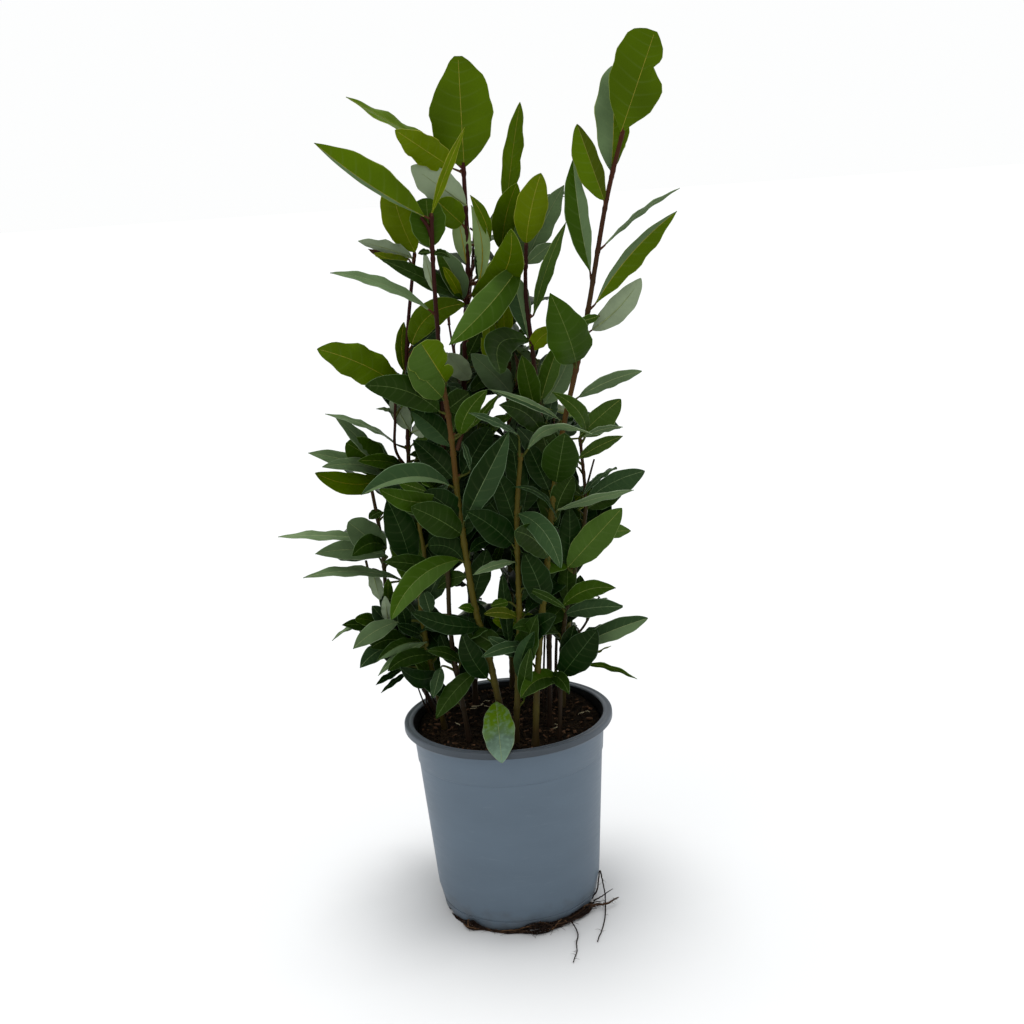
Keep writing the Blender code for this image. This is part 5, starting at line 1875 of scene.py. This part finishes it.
# Paths of the two long loose roots, close to the part's, and of two more on the right, from
# the pot outwards
HANGING_ROOT = [(.0642, -.0266, .0040), (.0702, -.0260, .0100), (.0726, -.0225, .0200),
                (.0745, -.0190, .0265), (.0762, -.0215, .0180), (.0774, -.0280, .0085),
                (.0765, -.0400, .0014), (.0745, -.0580, .0012), (.0705, -.0773, .0012),
                (.0640, -.1000, .0012)]
FRONT_ROOT_ANGLE = math.radians(303)
FRONT_ROOT = [(.0478, -.0850, .0016), (.0455, -.1000, .0012), (.0450, -.1129, .0012),
              (.0407, -.1310, .0012)]
THICK_SIDE_ROOT = [(.0610, -.0430, .0050), (.0700, -.0440, .0060), (.0790, -.0420, .0058),
                   (.0840, -.0380, .0062), (.0895, -.0350, .0070)]
SHORT_SIDE_ROOT = [(.0660, -.0340, .0050), (.0740, -.0330, .0080), (.0800, -.0300, .0105),
                   (.0850, -.0290, .0125)]
# Fine roots fanned out on the right of the mat, between these angles
FAN_COUNT = 7
FAN_ANGLES = (math.radians(318), math.radians(338))
ROOTLET_RADIUS = 0.00018


def add_rootlets(pile, path, rng, count, longest):
    """Short side roots at random rings of a path."""
    for _ in range(count):
        i = rng.integers(2, len(path) - 2)
        start = path[i]
        heading = unit(rng.normal(0, 1, 3) * np.array([1, 1, 0.35]))
        end = start + heading * rng.uniform(0.3, 1.0) * longest
        end[2] = max(end[2], 0.0004)
        middle = (start + end) / 2 + rng.normal(0, 0.0006, 3)
        add_root(pile, [start, middle, end], ROOTLET_RADIUS, "root_brown", rings=8, taper=0.7)


def make_loose_roots(looks):
    """The two long roots of the part, with their side roots, and the shorter ones beside them."""
    rng = np.random.default_rng(SEED + 4)
    hanging = Pile("root_hanging_strand", looks)
    add_root(hanging, HANGING_ROOT, 0.0008, "root_dark", rings=70, taper=0.4, wander=0.00012,
             rng=rng)
    add_rootlets(hanging, smooth_path(HANGING_ROOT, 60), rng, count=16, longest=0.007)
    made = hanging.make(70)
    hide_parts("root_hanging")
    centre, radius = mat_ring(FRONT_ROOT_ANGLE)
    away = unit(centre * np.array([1, 1, 0]))
    front = [centre, centre + away * (radius + 0.003), *FRONT_ROOT]
    pile = Pile("root_front_strand", looks)
    add_root(pile, front, 0.0007, "root_dark", rings=50, taper=0.4, wander=0.00012, rng=rng)
    add_rootlets(pile, smooth_path(front, 50), rng, count=9, longest=0.005)
    made = pile.make(70)
    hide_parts("root_front")
    side = Pile("root_side_strands", looks)
    add_root(side, THICK_SIDE_ROOT, 0.0013, "root_brown", rings=40, taper=0.55, wander=0.0002,
             rng=rng)
    add_rootlets(side, smooth_path(THICK_SIDE_ROOT, 40), rng, count=12, longest=0.006)
    add_root(side, SHORT_SIDE_ROOT, 0.0007, "root_dark", rings=30, taper=0.6, wander=0.00015,
             rng=rng)
    for _ in range(FAN_COUNT):
        a = rng.uniform(*FAN_ANGLES)
        centre, radius = mat_ring(min(a, MAT_END))
        length = rng.uniform(6, 15) * MM
        end = centre + outward(a) * length + np.array([0, 0, rng.uniform(-1, 5) * MM])
        end[2] = max(end[2], 0.0005)
        middle = (centre + end) / 2 + rng.normal(0, 0.001, 3)
        add_root(side, [centre, middle, end], 0.0004, "root_dark", rings=14, taper=0.6,
                 wander=0.00015, rng=rng)
    side.make(70)


def main():
    make_camera()
    make_light()
    make_floor()
    barks = {name: bark_material(name) for name in BARK_RAMPS}
    other_looks = {
        **{f"{tint}_rib": mottled_material(f"rib_{tint}", rib, roughness=0.5, scale=200,
                                           spread=0.25)
           for tint, (_, _, _, rib) in TINTS.items()},
        **{name: mottled_material(name, colour, roughness=0.5, scale=260, spread=0.35,
                                  specular=0.1)
           for name, colour in PETIOLE_COLOURS.items()},
        **barks,
    }
    other_looks["fading_rib"] = other_looks["sage_rib"]
    shrub = Shrub(leaf_looks(), other_looks)
    make_leaves(shrub)
    make_bark(shrub, barks)
    make_pot()
    make_compost()
    make_compost_bits()
    roots = root_looks()
    make_root_mat(roots)
    make_loose_roots(roots)


main()
